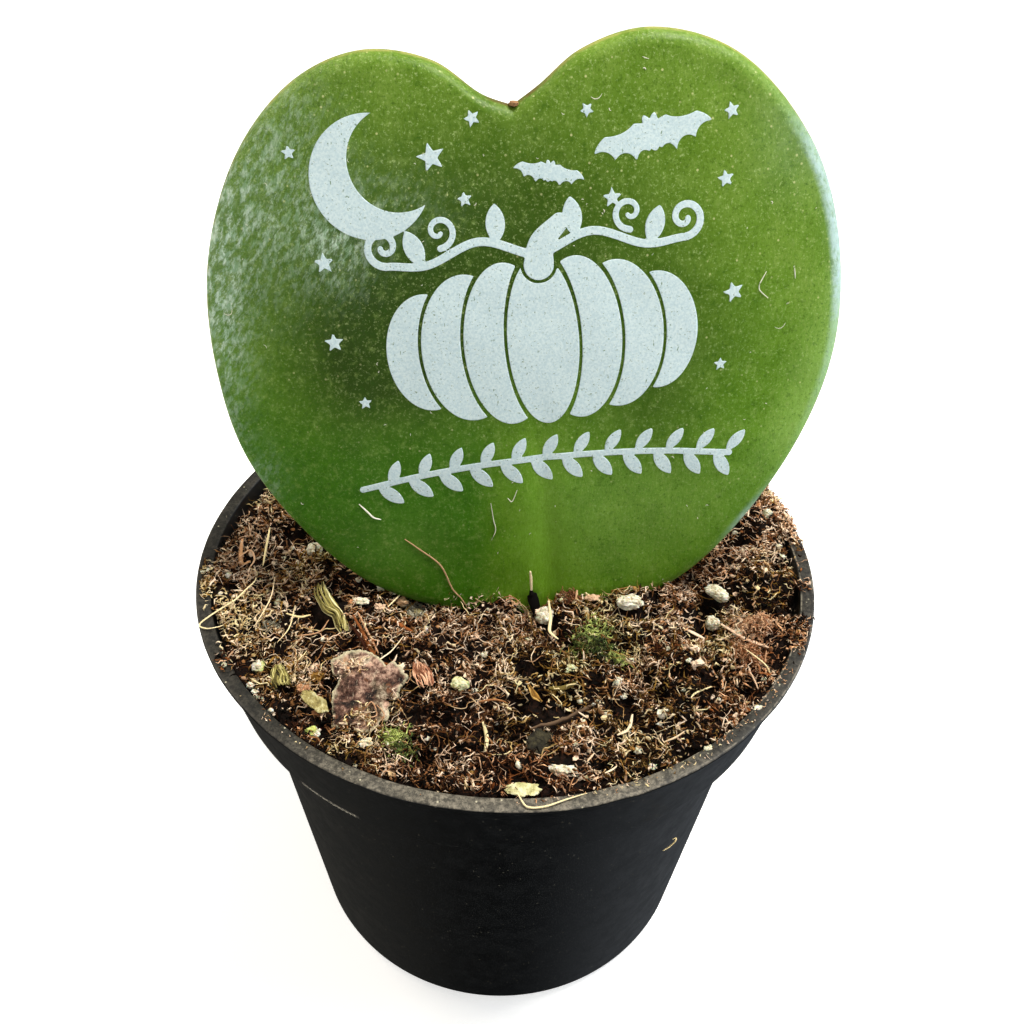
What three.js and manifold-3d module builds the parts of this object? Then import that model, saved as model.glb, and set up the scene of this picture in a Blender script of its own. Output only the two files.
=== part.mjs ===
// Potted hoya plant: one thick heart-shaped leaf, rooted by its short stalk in a small round
// nursery pot of fibrous soil, with loose grains and scraps lying on the soil.
// Millimetres, +Z up. The origin is the middle of the pot's foot, and the leaf faces -Y.

import * as THREE from "three";
import { mergeVertices } from "three/addons/utils/BufferGeometryUtils.js";
import Module from "manifold-3d";

const wasm = await Module();
wasm.setup();

// ---- Driving dimensions -------------------------------------------------------------------

const GAP = 0.3; // clearance between pieces that touch
const FACETS = 64; // facets round the pot and round the soil

const POT_HEIGHT = 52.5;
const RIM_RADIUS = 32.5;
const LIP = { width: 1.5, drop: 1.2 }; // flat ring round the mouth
const COLLAR = { drop: 9.4, topRadius: 31.9, footRadius: 30.4 }; // band that stacked pots rest on
const BODY = { topRadius: 28.3, footRadius: 24.0, footRound: 2.0 };
const WALL = 0.95;
const FLOOR_ROUND = 0.5; // inside corner between wall and floor
const FOOT_RING = { inner: 20.4, recess: 2.2, slope: 0.6 }; // the floor is raised inside it
const DRAIN = { count: 6, radius: 2.6, circle: 14.5 };
const EDGE = 0.3; // small slopes where the moulding turns a corner

const SOIL_DROP = 1.3; // mean soil surface below the rim
const SOIL_RINGS = 19; // rings across the soil's surface
const MOUND = { x: 28.0, y: 9.0, height: 5.0, spread: 7.0 }; // heap behind the right edge of the leaf
const WALL_DIP = { from: 27.5, to: 30.6, depth: 1.0 }; // the soil sinks along the wall
const LUMPS = [
  { size: 8.0, height: 1.8 },
  { size: 3.3, height: 1.8 },
];
const FIBRES = { count: 52, length: [3.0, 7.5], width: [0.7, 1.1], thick: 0.75 };
const CRUMBS = { count: 24, size: [1.1, 2.3] };
const BITS_WITHIN = 27.8; // fibres and crumbs lie within this radius
const BIT_LIFT = 0.15; // how far their middles lie above the soil's surface

const LEAF_BASE = [5.0, -4.8, 47.1]; // where the stalk joins the blade, just under the soil
const LEAF_LEAN = 15; // degrees the leaf leans back
const LEAF_TURN = 5; // degrees it is turned about +Z
const LEAF_TILT = 5; // degrees it is tilted in its own plane
const LEAF_THICKNESS = 3.2;
const LEAF_CROWN = 1.5; // how far the middle stands in front of the margins
const MARGIN_ROUND = 2.4; // width of the rounded margin
const STALK = { radius: 1.6, length: 10, sunk: 4 };

// The blade's outline from the stalk joint: right and left of the axis, from base to notch.
const NOTCH = [0, 52];
const BLADE_RIGHT = [
  [6.5, 1.1],
  [14.7, 4.7],
  [24.0, 15.0],
  [29.0, 26.0],
  [29.5, 36.4],
  [26.7, 46.3],
  [19.8, 54.5],
  [12.2, 57.1],
  [6.2, 55.9],
  [2.4, 53.4],
];
const BLADE_LEFT = [
  [-10.0, 2.9],
  [-19.2, 8.0],
  [-27.9, 21.1],
  [-29.5, 31.7],
  [-28.2, 41.6],
  [-23.8, 50.5],
  [-18.0, 55.7],
  [-12.1, 57.4],
  [-6.4, 56.1],
  [-2.5, 53.1],
];
const BLADE_CENTRE = [0, 28];
const BLADE_STEPS = 30; // points along each side
const BLADE_INSETS = [0.25, 0.8, 1.6, 2.6, 5.5, 11, 17]; // rings in from the margin

// Loose white grains: place on the soil, size along three axes, and turn in degrees.
const GRAINS = [
  { at: [12.7, -7.1], size: [2.8, 2.2, 2.0], turn: 10 },
  { at: [22.2, -4.2], size: [3.3, 2.2, 2.0], turn: -35 },
  { at: [4.1, -7.9], size: [2.4, 2.0, 1.9], turn: 40 },
  { at: [21.2, -8.4], size: [1.7, 1.6, 1.5], turn: 0 },
  { at: [5.2, -27.3], size: [3.2, 1.9, 1.7], turn: -8 },
  { at: [-4.2, -17.8], size: [1.8, 1.6, 1.5], turn: 20 },
  { at: [-21.0, 1.2], size: [2.2, 1.9, 1.7], turn: 70 },
  { at: [-24.1, -15.1], size: [1.5, 1.4, 1.3], turn: 0 },
  { at: [-17.4, -23.7], size: [1.5, 1.3, 1.2], turn: 15 },
  { at: [28.4, 5.1], size: [1.6, 1.4, 1.3], turn: 0 },
];
const GRAIN_LIFT = 0.1; // how far a grain's middle lies above the soil's surface

// ---- Small helpers ------------------------------------------------------------------------

const radians = THREE.MathUtils.degToRad;
const smoothstep = THREE.MathUtils.smoothstep;
const mix = THREE.MathUtils.lerp;

// A seeded stream of numbers from 0 to 1.
function seeded(seed) {
  let state = seed;
  return () => {
    state = (state + 0x6d2b79f5) | 0;
    let t = Math.imul(state ^ (state >>> 15), 1 | state);
    t = (t + Math.imul(t ^ (t >>> 7), 61 | t)) ^ t;
    return ((t ^ (t >>> 14)) >>> 0) / 4294967296;
  };
}

// Smooth noise from 0 to 1 on a lattice of unit cells.
function noise(x, y, seed) {
  const corner = (i, j) => seeded(i * 7919 + j * 104729 + seed * 1299709)();
  const i = Math.floor(x);
  const j = Math.floor(y);
  const u = smoothstep(x - i, 0, 1);
  const v = smoothstep(y - j, 0, 1);
  const low = mix(corner(i, j), corner(i + 1, j), u);
  const high = mix(corner(i, j + 1), corner(i + 1, j + 1), u);
  return mix(low, high, v);
}

// The same surface with only positions, its shared vertices joined.
function welded(geometry) {
  geometry.deleteAttribute("normal");
  geometry.deleteAttribute("uv");
  return mergeVertices(geometry, 1e-4);
}

function solidOf(geometry) {
  const joined = welded(geometry);
  return new wasm.Manifold(
    new wasm.Mesh({
      numProp: 3,
      vertProperties: new Float32Array(joined.attributes.position.array),
      triVerts: new Uint32Array(joined.index.array),
    }),
  );
}

function geometryOf(solid) {
  const mesh = solid.getMesh();
  const geometry = new THREE.BufferGeometry();
  geometry.setAttribute("position", new THREE.BufferAttribute(mesh.vertProperties, 3));
  geometry.setIndex(new THREE.BufferAttribute(mesh.triVerts, 1));
  geometry.computeVertexNormals();
  return geometry;
}

// A mesh's geometry as a solid in the frame of the whole plant.
function placedSolid(mesh) {
  mesh.updateWorldMatrix(true, false);
  return solidOf(mesh.geometry.clone().applyMatrix4(mesh.matrixWorld));
}

// The largest of a solid's bodies: a crumb that a cut has left loose is dropped.
function largestBody(solid) {
  const bodies = solid.decompose();
  return bodies.reduce((best, body) => (body.volume() > best.volume() ? body : best));
}

function lathe(profile) {
  const points = profile.map(([r, z]) => new THREE.Vector2(r, z));
  return new THREE.LatheGeometry(points, FACETS).rotateX(Math.PI / 2);
}

function named(name, geometry, material) {
  const mesh = new THREE.Mesh(geometry, material);
  mesh.name = name;
  return mesh;
}

// ---- Materials ----------------------------------------------------------------------------

const matte = (color, roughness) =>
  new THREE.MeshStandardMaterial({ color, roughness, metalness: 0 });
const blackPlastic = matte(0x1b1c1d, 0.55);
const coirSoil = matte(0x5a4230, 0.95);
const leafGreen = matte(0x4f7a22, 0.4);
const perliteWhite = matte(0xe2dcc4, 0.9);
const barkPink = matte(0x96796a, 0.9);
const huskYellow = matte(0xa89a62, 0.8);
const barkRed = matte(0x6e3d2a, 0.85);
const twigBrown = matte(0x3f2d20, 0.85);
const deadLeaf = matte(0x33281f, 0.8);
const paleGreen = matte(0x9aa05a, 0.8);

// ---- Pot ----------------------------------------------------------------------------------

// Heights and radii that the pot and the soil share, worked out from the sizes above.
const collarFootZ = POT_HEIGHT - COLLAR.drop;
const lipFootZ = POT_HEIGHT - LIP.drop;
const floorZ = FOOT_RING.recess + WALL;
const collarInner = COLLAR.footRadius - WALL;
const bodyInner = BODY.topRadius - WALL;
const mouthRadius = RIM_RADIUS - LIP.width;
const wallSlope = (BODY.topRadius - BODY.footRadius) / (collarFootZ - BODY.footRound);
const floorRadius = BODY.footRadius - WALL + wallSlope * (floorZ - BODY.footRound);

function potProfile() {
  const corner = [];
  for (const angle of [0, 30, 60, 90]) {
    const turn = radians(angle);
    corner.push([
      BODY.footRadius - BODY.footRound * (1 - Math.sin(turn)),
      BODY.footRound * (1 - Math.cos(turn)),
    ]);
  }
  return [
    [0, FOOT_RING.recess],
    [FOOT_RING.inner - FOOT_RING.slope, FOOT_RING.recess],
    [FOOT_RING.inner, 0],
    ...corner,
    [BODY.topRadius, collarFootZ],
    [COLLAR.footRadius - EDGE, collarFootZ],
    [COLLAR.footRadius, collarFootZ + EDGE],
    [COLLAR.topRadius, lipFootZ],
    [RIM_RADIUS, lipFootZ + EDGE],
    [RIM_RADIUS, POT_HEIGHT - EDGE],
    [RIM_RADIUS - EDGE, POT_HEIGHT],
    [mouthRadius, POT_HEIGHT],
    [mouthRadius - EDGE / 3, POT_HEIGHT - EDGE],
    [collarInner, collarFootZ + WALL],
    [bodyInner, collarFootZ + WALL],
    [bodyInner - EDGE / 3, collarFootZ],
    [floorRadius, floorZ + FLOOR_ROUND],
    [floorRadius - FLOOR_ROUND, floorZ],
    [0, floorZ],
  ];
}

function makePot() {
  let pot = solidOf(lathe(potProfile()));
  for (let i = 0; i < DRAIN.count; i += 1) {
    const angle = (i / DRAIN.count) * 2 * Math.PI;
    const hole = new THREE.CylinderGeometry(DRAIN.radius, DRAIN.radius, 4 * WALL, 16);
    hole.rotateX(Math.PI / 2);
    hole.translate(DRAIN.circle * Math.cos(angle), DRAIN.circle * Math.sin(angle), floorZ);
    pot = pot.subtract(solidOf(hole));
  }
  return named("pot", geometryOf(pot), blackPlastic);
}

// ---- Leaf ---------------------------------------------------------------------------------

// The blade's outline as one loop, counter-clockwise from the base, without repeated points.
function bladeOutline() {
  const side = (points) => {
    const through = [[0, 0], ...points, NOTCH].map(([u, v]) => new THREE.Vector3(u, v, 0));
    return new THREE.CatmullRomCurve3(through, false, "centripetal").getSpacedPoints(BLADE_STEPS);
  };
  const right = side(BLADE_RIGHT);
  const left = side(BLADE_LEFT).reverse();
  return [...right, ...left.slice(1, -1)];
}

// How far the blade's middle surface stands forward at (u, v).
function crownAt(u, v) {
  const reach = ((u - BLADE_CENTRE[0]) ** 2 + (v - BLADE_CENTRE[1]) ** 2) / 30 ** 2;
  return LEAF_CROWN * Math.max(0, 1 - reach);
}

// The blade is a stack of rings inside its outline, front and back, closed by two middle points.
// grow makes it larger all round, for the slot that it stands in.
function bladeGeometry(grow) {
  const outline = bladeOutline();
  const count = outline.length;
  const positions = [];
  const triangles = [];
  const addRing = (inset, side) => {
    const inwards = Math.min(inset / MARGIN_ROUND, 1);
    const half = (LEAF_THICKNESS / 2 + grow) * Math.sqrt(1 - (1 - inwards) ** 2);
    for (const point of outline) {
      const toCentre = new THREE.Vector2(BLADE_CENTRE[0] - point.x, BLADE_CENTRE[1] - point.y);
      toCentre.setLength(inset - grow);
      const u = point.x + toCentre.x;
      const v = point.y + toCentre.y;
      positions.push(u, v, crownAt(u, v) + side * half);
    }
  };
  addRing(0, 0);
  for (const side of [1, -1]) {
    let outer = 0;
    for (const inset of BLADE_INSETS) {
      const inner = positions.length / 3;
      addRing(inset, side);
      for (let i = 0; i < count; i += 1) {
        const j = (i + 1) % count;
        const quad = [outer + i, outer + j, inner + j, inner + i];
        if (side < 0) quad.reverse();
        triangles.push(quad[0], quad[1], quad[2], quad[0], quad[2], quad[3]);
      }
      outer = inner;
    }
    const middle = positions.length / 3;
    const [u, v] = BLADE_CENTRE;
    positions.push(u, v, crownAt(u, v) + side * (LEAF_THICKNESS / 2 + grow));
    for (let i = 0; i < count; i += 1) {
      const j = (i + 1) % count;
      if (side > 0) triangles.push(outer + i, outer + j, middle);
      else triangles.push(outer + j, outer + i, middle);
    }
  }
  const geometry = new THREE.BufferGeometry();
  geometry.setAttribute("position", new THREE.Float32BufferAttribute(positions, 3));
  geometry.setIndex(triangles);
  return geometry;
}

// Blade and stalk, which grew as one piece, in the blade's own frame.
function leafGeometry(grow) {
  const radius = STALK.radius + grow;
  const length = STALK.length + STALK.sunk + grow;
  const stalk = new THREE.CylinderGeometry(radius * 0.95, radius * 0.8, length, 16);
  stalk.translate(0, STALK.sunk - length / 2, crownAt(0, 0));
  return geometryOf(solidOf(bladeGeometry(grow)).add(solidOf(stalk)));
}

// The leaf's place: a turned and leaning group, in which the leaf is tilted.
function leafStand(mesh) {
  const stand = new THREE.Group();
  stand.position.set(...LEAF_BASE);
  stand.rotation.set(Math.PI / 2 - radians(LEAF_LEAN), 0, radians(LEAF_TURN), "ZXY");
  mesh.rotation.z = radians(LEAF_TILT);
  stand.add(mesh);
  return stand;
}

// ---- Loose grains and scraps on the soil --------------------------------------------------

// Height of the soil's surface, without its fibres.
function soilHeight(x, y) {
  const away = (x - MOUND.x) ** 2 + (y - MOUND.y) ** 2;
  let height = POT_HEIGHT - SOIL_DROP + MOUND.height * Math.exp(-away / MOUND.spread ** 2);
  LUMPS.forEach((lump, seed) => {
    height += lump.height * (noise(x / lump.size, y / lump.size, seed + 1) - 0.5);
  });
  return height - WALL_DIP.depth * smoothstep(Math.hypot(x, y), WALL_DIP.from, WALL_DIP.to);
}

// A lumpy grain with the given full sizes.
function grainGeometry(size, seed, grow) {
  const random = seeded(seed);
  const grain = welded(new THREE.IcosahedronGeometry(0.5, 1));
  const place = grain.attributes.position;
  for (let i = 0; i < place.count; i += 1) {
    const swell = 0.86 + 0.28 * random();
    place.setXYZ(
      i,
      place.getX(i) * (size[0] * swell + 2 * grow),
      place.getY(i) * (size[1] * swell + 2 * grow),
      place.getZ(i) * (size[2] * swell + 2 * grow),
    );
  }
  return grain;
}

// A thin ragged plate, bent into a trough of the given depth along its length.
function flakeGeometry({ length, width, thick, bend, seed }, grow) {
  const random = seeded(seed);
  const corners = [];
  const count = 11;
  for (let i = 0; i < count; i += 1) {
    const angle = (i / count) * 2 * Math.PI;
    const ragged = 0.8 + 0.2 * random();
    corners.push(
      new THREE.Vector2(
        Math.cos(angle) * (length / 2 * ragged + grow),
        Math.sin(angle) * (width / 2 * ragged + grow),
      ),
    );
  }
  const flake = new THREE.ExtrudeGeometry(new THREE.Shape(corners), {
    depth: thick + 2 * grow,
    bevelEnabled: false,
    steps: 1,
  });
  flake.translate(0, 0, -grow);
  const place = flake.attributes.position;
  for (let i = 0; i < place.count; i += 1) {
    const across = place.getY(i) / (width / 2);
    const along = place.getX(i) / (length / 2);
    place.setZ(i, place.getZ(i) + bend * across ** 2 - 0.4 * bend * along ** 2);
  }
  return flake;
}

function twigGeometry({ length, radius }, grow) {
  const twig = new THREE.CylinderGeometry(radius * 0.7 + grow, radius + grow, length + 2 * grow, 7, 3);
  twig.rotateZ(Math.PI / 2);
  return twig;
}

const SCRAPS = [
  {
    name: "bark_flake",
    at: [-13.1, -19.5],
    lift: 0.4,
    turn: [14, -6, 0],
    form: { length: 7.2, width: 8.6, thick: 0.9, bend: 0.4, seed: 21 },
    material: barkPink,
  },
  {
    name: "husk",
    at: [-17.9, -8.6],
    lift: 0.7,
    turn: [-10, 12, -60],
    form: { length: 8.0, width: 2.6, thick: 0.7, bend: 0.9, seed: 5 },
    material: huskYellow,
  },
  {
    name: "bark_strip",
    at: [-8.0, -16.6],
    lift: 0.5,
    turn: [8, -8, -65],
    form: { length: 4.8, width: 2.1, thick: 0.8, bend: 0.4, seed: 8 },
    material: barkRed,
  },
  {
    name: "leaf_scrap",
    at: [3.2, -23.9],
    lift: 0.4,
    turn: [14, 6, 10],
    form: { length: 3.4, width: 2.6, thick: 0.6, bend: 0.3, seed: 13 },
    material: deadLeaf,
  },
  {
    name: "chip_yellow",
    at: [-18.1, -20.8],
    lift: 0.4,
    turn: [12, 8, -30],
    form: { length: 2.7, width: 1.5, thick: 0.6, bend: 0.2, seed: 17 },
    material: huskYellow,
  },
  {
    name: "chip_green",
    at: [-21.7, -16.4],
    lift: 0.4,
    turn: [10, 6, -70],
    form: { length: 3.0, width: 1.8, thick: 0.6, bend: 0.2, seed: 23 },
    material: paleGreen,
  },
  {
    name: "chip_tan",
    at: [2.9, -18.5],
    lift: 0.4,
    turn: [0, 12, -65],
    form: { length: 2.5, width: 1.2, thick: 0.6, bend: 0.1, seed: 19 },
    material: huskYellow,
  },
  {
    name: "chip_pale",
    at: [1.4, -28.6],
    lift: 0.5,
    turn: [10, 0, 0],
    form: { length: 2.9, width: 1.6, thick: 0.6, bend: 0.2, seed: 29 },
    material: paleGreen,
  },
  {
    name: "twig",
    at: [5.5, -20.9],
    lift: 0.4,
    turn: [0, -4, 18],
    form: { length: 5.6, radius: 0.45 },
    material: twigBrown,
  },
];

// Each loose piece as its mesh and a larger mesh for its dimple, both in place.
function looseItem(name, makeGeometry, material, place, turn) {
  return [0, GAP].map((grow) => {
    const mesh = named(name, makeGeometry(grow), material);
    mesh.position.set(...place);
    mesh.rotation.set(...turn.map(radians));
    return mesh;
  });
}

function makeGrains() {
  return GRAINS.map(({ at, size, turn }, i) => {
    const [x, y] = at;
    const z = soilHeight(x, y) + GRAIN_LIFT;
    const make = (grow) => grainGeometry(size, 100 + i, grow);
    return looseItem(`perlite_${i + 1}`, make, perliteWhite, [x, y, z], [0, 0, turn]);
  });
}

function makeScraps() {
  return SCRAPS.map(({ name, at, lift, turn, form, material }) => {
    const [x, y] = at;
    const geometry = form.radius ? twigGeometry : flakeGeometry;
    const make = (grow) => geometry(form, grow);
    return looseItem(name, make, material, [x, y, soilHeight(x, y) + lift], turn);
  });
}

// ---- Soil ---------------------------------------------------------------------------------

function soilBody() {
  const top = POT_HEIGHT - SOIL_DROP;
  const clear = GAP + EDGE / 3;
  const wallAt = (z) => mix(collarInner, mouthRadius, (z - collarFootZ) / COLLAR.drop) - clear;
  const profile = [
    [0, floorZ + GAP],
    [floorRadius - FLOOR_ROUND - clear, floorZ + GAP],
    [floorRadius - clear, floorZ + FLOOR_ROUND + GAP],
    [bodyInner - 1.5 * clear, collarFootZ],
    [bodyInner - 1.5 * clear, collarFootZ + WALL + GAP],
    [collarInner - clear, collarFootZ + WALL + GAP],
  ];
  for (let ring = SOIL_RINGS; ring >= 0; ring -= 1) {
    profile.push([(wallAt(top - WALL_DIP.depth) * ring) / SOIL_RINGS, top]);
  }
  const body = welded(lathe(profile));
  const place = body.attributes.position;
  for (let i = 0; i < place.count; i += 1) {
    if (place.getZ(i) > top - EDGE) place.setZ(i, soilHeight(place.getX(i), place.getY(i)));
  }
  return solidOf(body);
}

// A stretched eight-sided bit, laid on the soil and sunk into it to its middle.
function bit(random, sizes, steepest) {
  const reach = BITS_WITHIN * Math.sqrt(random());
  const angle = 2 * Math.PI * random();
  const x = reach * Math.cos(angle);
  const y = reach * Math.sin(angle);
  const shape = new THREE.OctahedronGeometry(0.5).scale(...sizes);
  shape.rotateX(2 * Math.PI * random());
  shape.rotateY(radians(steepest) * (2 * random() - 1));
  shape.rotateZ(2 * Math.PI * random());
  return shape.translate(x, y, soilHeight(x, y) + BIT_LIFT);
}

function makeSoil(cutters) {
  const random = seeded(7);
  const pick = ([low, high]) => mix(low, high, random());
  const parts = [soilBody()];
  for (let i = 0; i < FIBRES.count; i += 1) {
    parts.push(solidOf(bit(random, [pick(FIBRES.length), pick(FIBRES.width), FIBRES.thick], 16)));
  }
  for (let i = 0; i < CRUMBS.count; i += 1) {
    parts.push(solidOf(bit(random, [0, 1, 2].map(() => pick(CRUMBS.size)), 90)));
  }
  let soil = wasm.Manifold.union(parts);
  for (const cutter of cutters) soil = soil.subtract(placedSolid(cutter));
  return named("soil", geometryOf(largestBody(soil)), coirSoil);
}

// ---- The whole plant ----------------------------------------------------------------------

const plant = new THREE.Group();
const leaf = named("leaf", leafGeometry(0), leafGreen);
const leafSlot = named("leaf_slot", leafGeometry(GAP), leafGreen);
const loose = [...makeGrains(), ...makeScraps()];
plant.add(makePot(), leafStand(leaf), ...loose.map(([piece]) => piece));
leafStand(leafSlot);
plant.add(makeSoil([leafSlot, ...loose.map(([, dimple]) => dimple)]));

export default plant;
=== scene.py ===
"""Dresses the potted hoya plant: one thick heart-shaped leaf in a small nursery pot of fibrous soil.

Every length is in millimetres until build_mesh turns it into metres. The frame is the part's own:
+Z up, origin at the middle of the pot's foot, the leaf facing -Y.
"""

import math

import bpy
import numpy as np
from mathutils import Matrix, Vector


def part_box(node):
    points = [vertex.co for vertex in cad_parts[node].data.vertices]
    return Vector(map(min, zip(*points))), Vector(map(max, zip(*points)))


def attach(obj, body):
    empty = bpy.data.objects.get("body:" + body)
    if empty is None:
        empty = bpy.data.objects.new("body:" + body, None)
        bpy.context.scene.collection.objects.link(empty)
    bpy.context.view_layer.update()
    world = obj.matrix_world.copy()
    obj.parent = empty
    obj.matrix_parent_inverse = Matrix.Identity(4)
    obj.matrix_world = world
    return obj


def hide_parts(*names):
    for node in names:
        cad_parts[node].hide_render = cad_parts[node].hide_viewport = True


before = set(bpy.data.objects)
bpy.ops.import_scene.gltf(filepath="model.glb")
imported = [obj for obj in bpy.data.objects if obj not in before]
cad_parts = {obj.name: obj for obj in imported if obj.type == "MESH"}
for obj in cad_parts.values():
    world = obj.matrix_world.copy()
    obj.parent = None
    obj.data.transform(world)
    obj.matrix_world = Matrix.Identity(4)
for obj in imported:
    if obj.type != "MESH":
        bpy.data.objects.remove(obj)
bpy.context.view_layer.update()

MM = 0.001
BODY = "root"

# ---- Measures of the solids, repeated from the part's source ---------------------------------------

RIM_RADIUS, _, POT_HEIGHT = np.array(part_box("pot")[1]) / MM
LIP_WIDTH, LIP_DROP = 1.5, 1.2
COLLAR_DROP, COLLAR_TOP, COLLAR_FOOT = 9.4, 31.9, 30.4
BODY_TOP, FOOT_RADIUS, FOOT_ROUND = 28.3, 24.0, 2.0
WALL = 0.95
FLOOR_ROUND = 0.5
RING_INNER, RING_RECESS, RING_SLOPE = 20.4, 2.2, 0.6
DRAIN_COUNT, DRAIN_RADIUS, DRAIN_CIRCLE = 6, 2.6, 14.5

COLLAR_FOOT_Z = POT_HEIGHT - COLLAR_DROP
LIP_FOOT_Z = POT_HEIGHT - LIP_DROP
FLOOR_Z = RING_RECESS + WALL
MOUTH_RADIUS = RIM_RADIUS - LIP_WIDTH

SOIL_DROP = 1.3
MOUND_AT, MOUND_HEIGHT, MOUND_SPREAD = (28.0, 9.0), 5.0, 7.0
WALL_DIP_FROM, WALL_DIP_TO, WALL_DIP = 27.5, 30.6, 1.0
LUMPS = ((8.0, 1.8), (3.3, 1.8))  # size and height

LEAF_BASE = (5.0, -4.8, 47.1)
LEAF_LEAN, LEAF_TURN, LEAF_TILT = 15.0, 5.0, 5.0
LEAF_THICKNESS, LEAF_CROWN = 3.2, 1.5
STALK_RADIUS, STALK_LENGTH, STALK_SUNK = 1.6, 10.0, 4.0
NOTCH = (0.0, 52.0)
BLADE_CENTRE = (0.0, 28.0)
BLADE_RIGHT = (
    (6.5, 1.1), (14.7, 4.7), (24.0, 15.0), (29.0, 26.0), (29.5, 36.4),
    (26.7, 46.3), (19.8, 54.5), (12.2, 57.1), (6.2, 55.9), (2.4, 53.4),
)
BLADE_LEFT = (
    (-10.0, 2.9), (-19.2, 8.0), (-27.9, 21.1), (-29.5, 31.7), (-28.2, 41.6),
    (-23.8, 50.5), (-18.0, 55.7), (-12.1, 57.4), (-6.4, 56.1), (-2.5, 53.1),
)

# ---- Camera --------------------------------------------------------------------------------------

CAMERA_AT = (0.0, -84.11, 129.15)
CAMERA_PITCH, CAMERA_YAW, CAMERA_ROLL = 40.19, 0.26, 1.74  # degrees down, right and clockwise
LENS, SENSOR = 37.2, 36.0


def make_camera():
    pitch, yaw, roll = (math.radians(a) for a in (CAMERA_PITCH, CAMERA_YAW, CAMERA_ROLL))
    forward = Vector((math.sin(yaw) * math.cos(pitch), math.cos(yaw) * math.cos(pitch), -math.sin(pitch)))
    level = forward.cross(Vector((0, 0, 1))).normalized()
    upright = level.cross(forward)
    right = level * math.cos(roll) + upright * math.sin(roll)
    up = upright * math.cos(roll) - level * math.sin(roll)
    camera = bpy.data.objects.new("camera", bpy.data.cameras.new("camera"))
    camera.data.lens = LENS
    camera.data.sensor_width = SENSOR
    camera.data.clip_start = 0.005
    axes = Matrix((right, up, -forward)).transposed().to_4x4()
    camera.matrix_world = Matrix.Translation(Vector(CAMERA_AT) * MM) @ axes
    bpy.context.scene.collection.objects.link(camera)
    bpy.context.scene.camera = camera


# ---- Noise ---------------------------------------------------------------------------------------

MASK = 0xFFFFFFFF
STRIDE = 0x6D2B79F5
PRIMES = 7919, 104729, 15485863, 1299709  # for steps along x, y and z, and for the seed


def hashed(whole):
    """A number from 0 to 1 for each whole number, mixed as in the part's source."""
    state = (np.asarray(whole, np.int64) + STRIDE) & MASK
    t = ((state ^ (state >> 15)) * (1 | state)) & MASK
    t = ((t + (((t ^ (t >> 7)) * (61 | t)) & MASK)) ^ t) & MASK
    return ((t ^ (t >> 14)) & MASK) / 4294967296.0


def eased(x):
    return x * x * (3 - 2 * x)


def noise2(x, y, seed):
    """The soil solid's smooth noise, from 0 to 1."""
    i, j = np.floor(x), np.floor(y)
    u, v = eased(x - i), eased(y - j)
    corner = lambda a, b: hashed((i + a) * PRIMES[0] + (j + b) * PRIMES[1] + seed * PRIMES[3])
    low = corner(0, 0) * (1 - u) + corner(1, 0) * u
    high = corner(0, 1) * (1 - u) + corner(1, 1) * u
    return low * (1 - v) + high * v


def noise3(points, seed):
    """Smooth noise from 0 to 1 at points in space."""
    cell = np.floor(points)
    share = eased(points - cell)
    total = np.zeros(len(points))
    for corner in np.ndindex(2, 2, 2):
        weight = np.where(corner, share, 1 - share).prod(1)
        total += weight * hashed((cell + corner) @ PRIMES[:3] + seed * PRIMES[3])
    return total


def rough3(points, size, octaves, seed):
    """Layered noise about 0, with its coarsest lumps of the given size."""
    total = np.zeros(len(points))
    for octave in range(octaves):
        total += (noise3(points * 2**octave / size, seed + octave) - 0.5) / 2**octave
    return total


def smoothstep(x, low, high):
    return eased(np.clip((x - low) / (high - low), 0, 1))


def spot(x, y, middle, reach, power=1.0):
    """1 at the middle, and less with distance; a reach is one number or one across and one up."""
    across, up = np.broadcast_to(reach, 2)
    away = ((x - middle[0]) / across) ** 2 + ((y - middle[1]) / up) ** 2
    return np.exp(-(away**power))


# ---- Meshes --------------------------------------------------------------------------------------


def build_mesh(name, points, face_sets, material, slot, values=None, smooth=True):
    """A piece from points in millimetres and arrays of faces. values are named numbers for each point."""
    face_sets = [np.asarray(f) for f in face_sets if len(f)]
    counts = np.concatenate([np.full(len(f), f.shape[1]) for f in face_sets])
    corners = np.concatenate([f.ravel() for f in face_sets])
    mesh = bpy.data.meshes.new(name)
    mesh.vertices.add(len(points))
    mesh.vertices.foreach_set("co", (np.asarray(points) * MM).astype(np.float32).ravel())
    mesh.loops.add(len(corners))
    mesh.loops.foreach_set("vertex_index", corners.astype(np.int32))
    mesh.polygons.add(len(counts))
    mesh.polygons.foreach_set("loop_start", np.concatenate([[0], np.cumsum(counts)[:-1]]).astype(np.int32))
    mesh.polygons.foreach_set("use_smooth", np.full(len(counts), smooth))
    mesh.update(calc_edges=True)
    for key, numbers in (values or {}).items():
        layer = mesh.attributes.new(key, "FLOAT", "POINT")
        layer.data.foreach_set("value", np.asarray(numbers, np.float32))
    mesh.materials.append(material)
    piece = bpy.data.objects.new(name, mesh)
    bpy.context.scene.collection.objects.link(piece)
    if slot:
        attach(piece, BODY)
    return piece


def grid_faces(rows, columns, wrap=True, flip=False):
    """Quads between rows of points; each row closes on itself if wrap is set."""
    across = columns if wrap else columns - 1
    i, j = np.meshgrid(np.arange(rows - 1), np.arange(across), indexing="ij")
    k = (j + 1) % columns
    quads = np.stack([i * columns + j, i * columns + k, (i + 1) * columns + k, (i + 1) * columns + j], -1)
    quads = quads.reshape(-1, 4)
    return quads[:, ::-1] if flip else quads


def fan_faces(ring_start, columns, centre, flip=False):
    j = np.arange(columns)
    fan = np.stack([ring_start + j, ring_start + (j + 1) % columns, np.full(columns, centre)], -1)
    return fan[:, ::-1] if flip else fan


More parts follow.
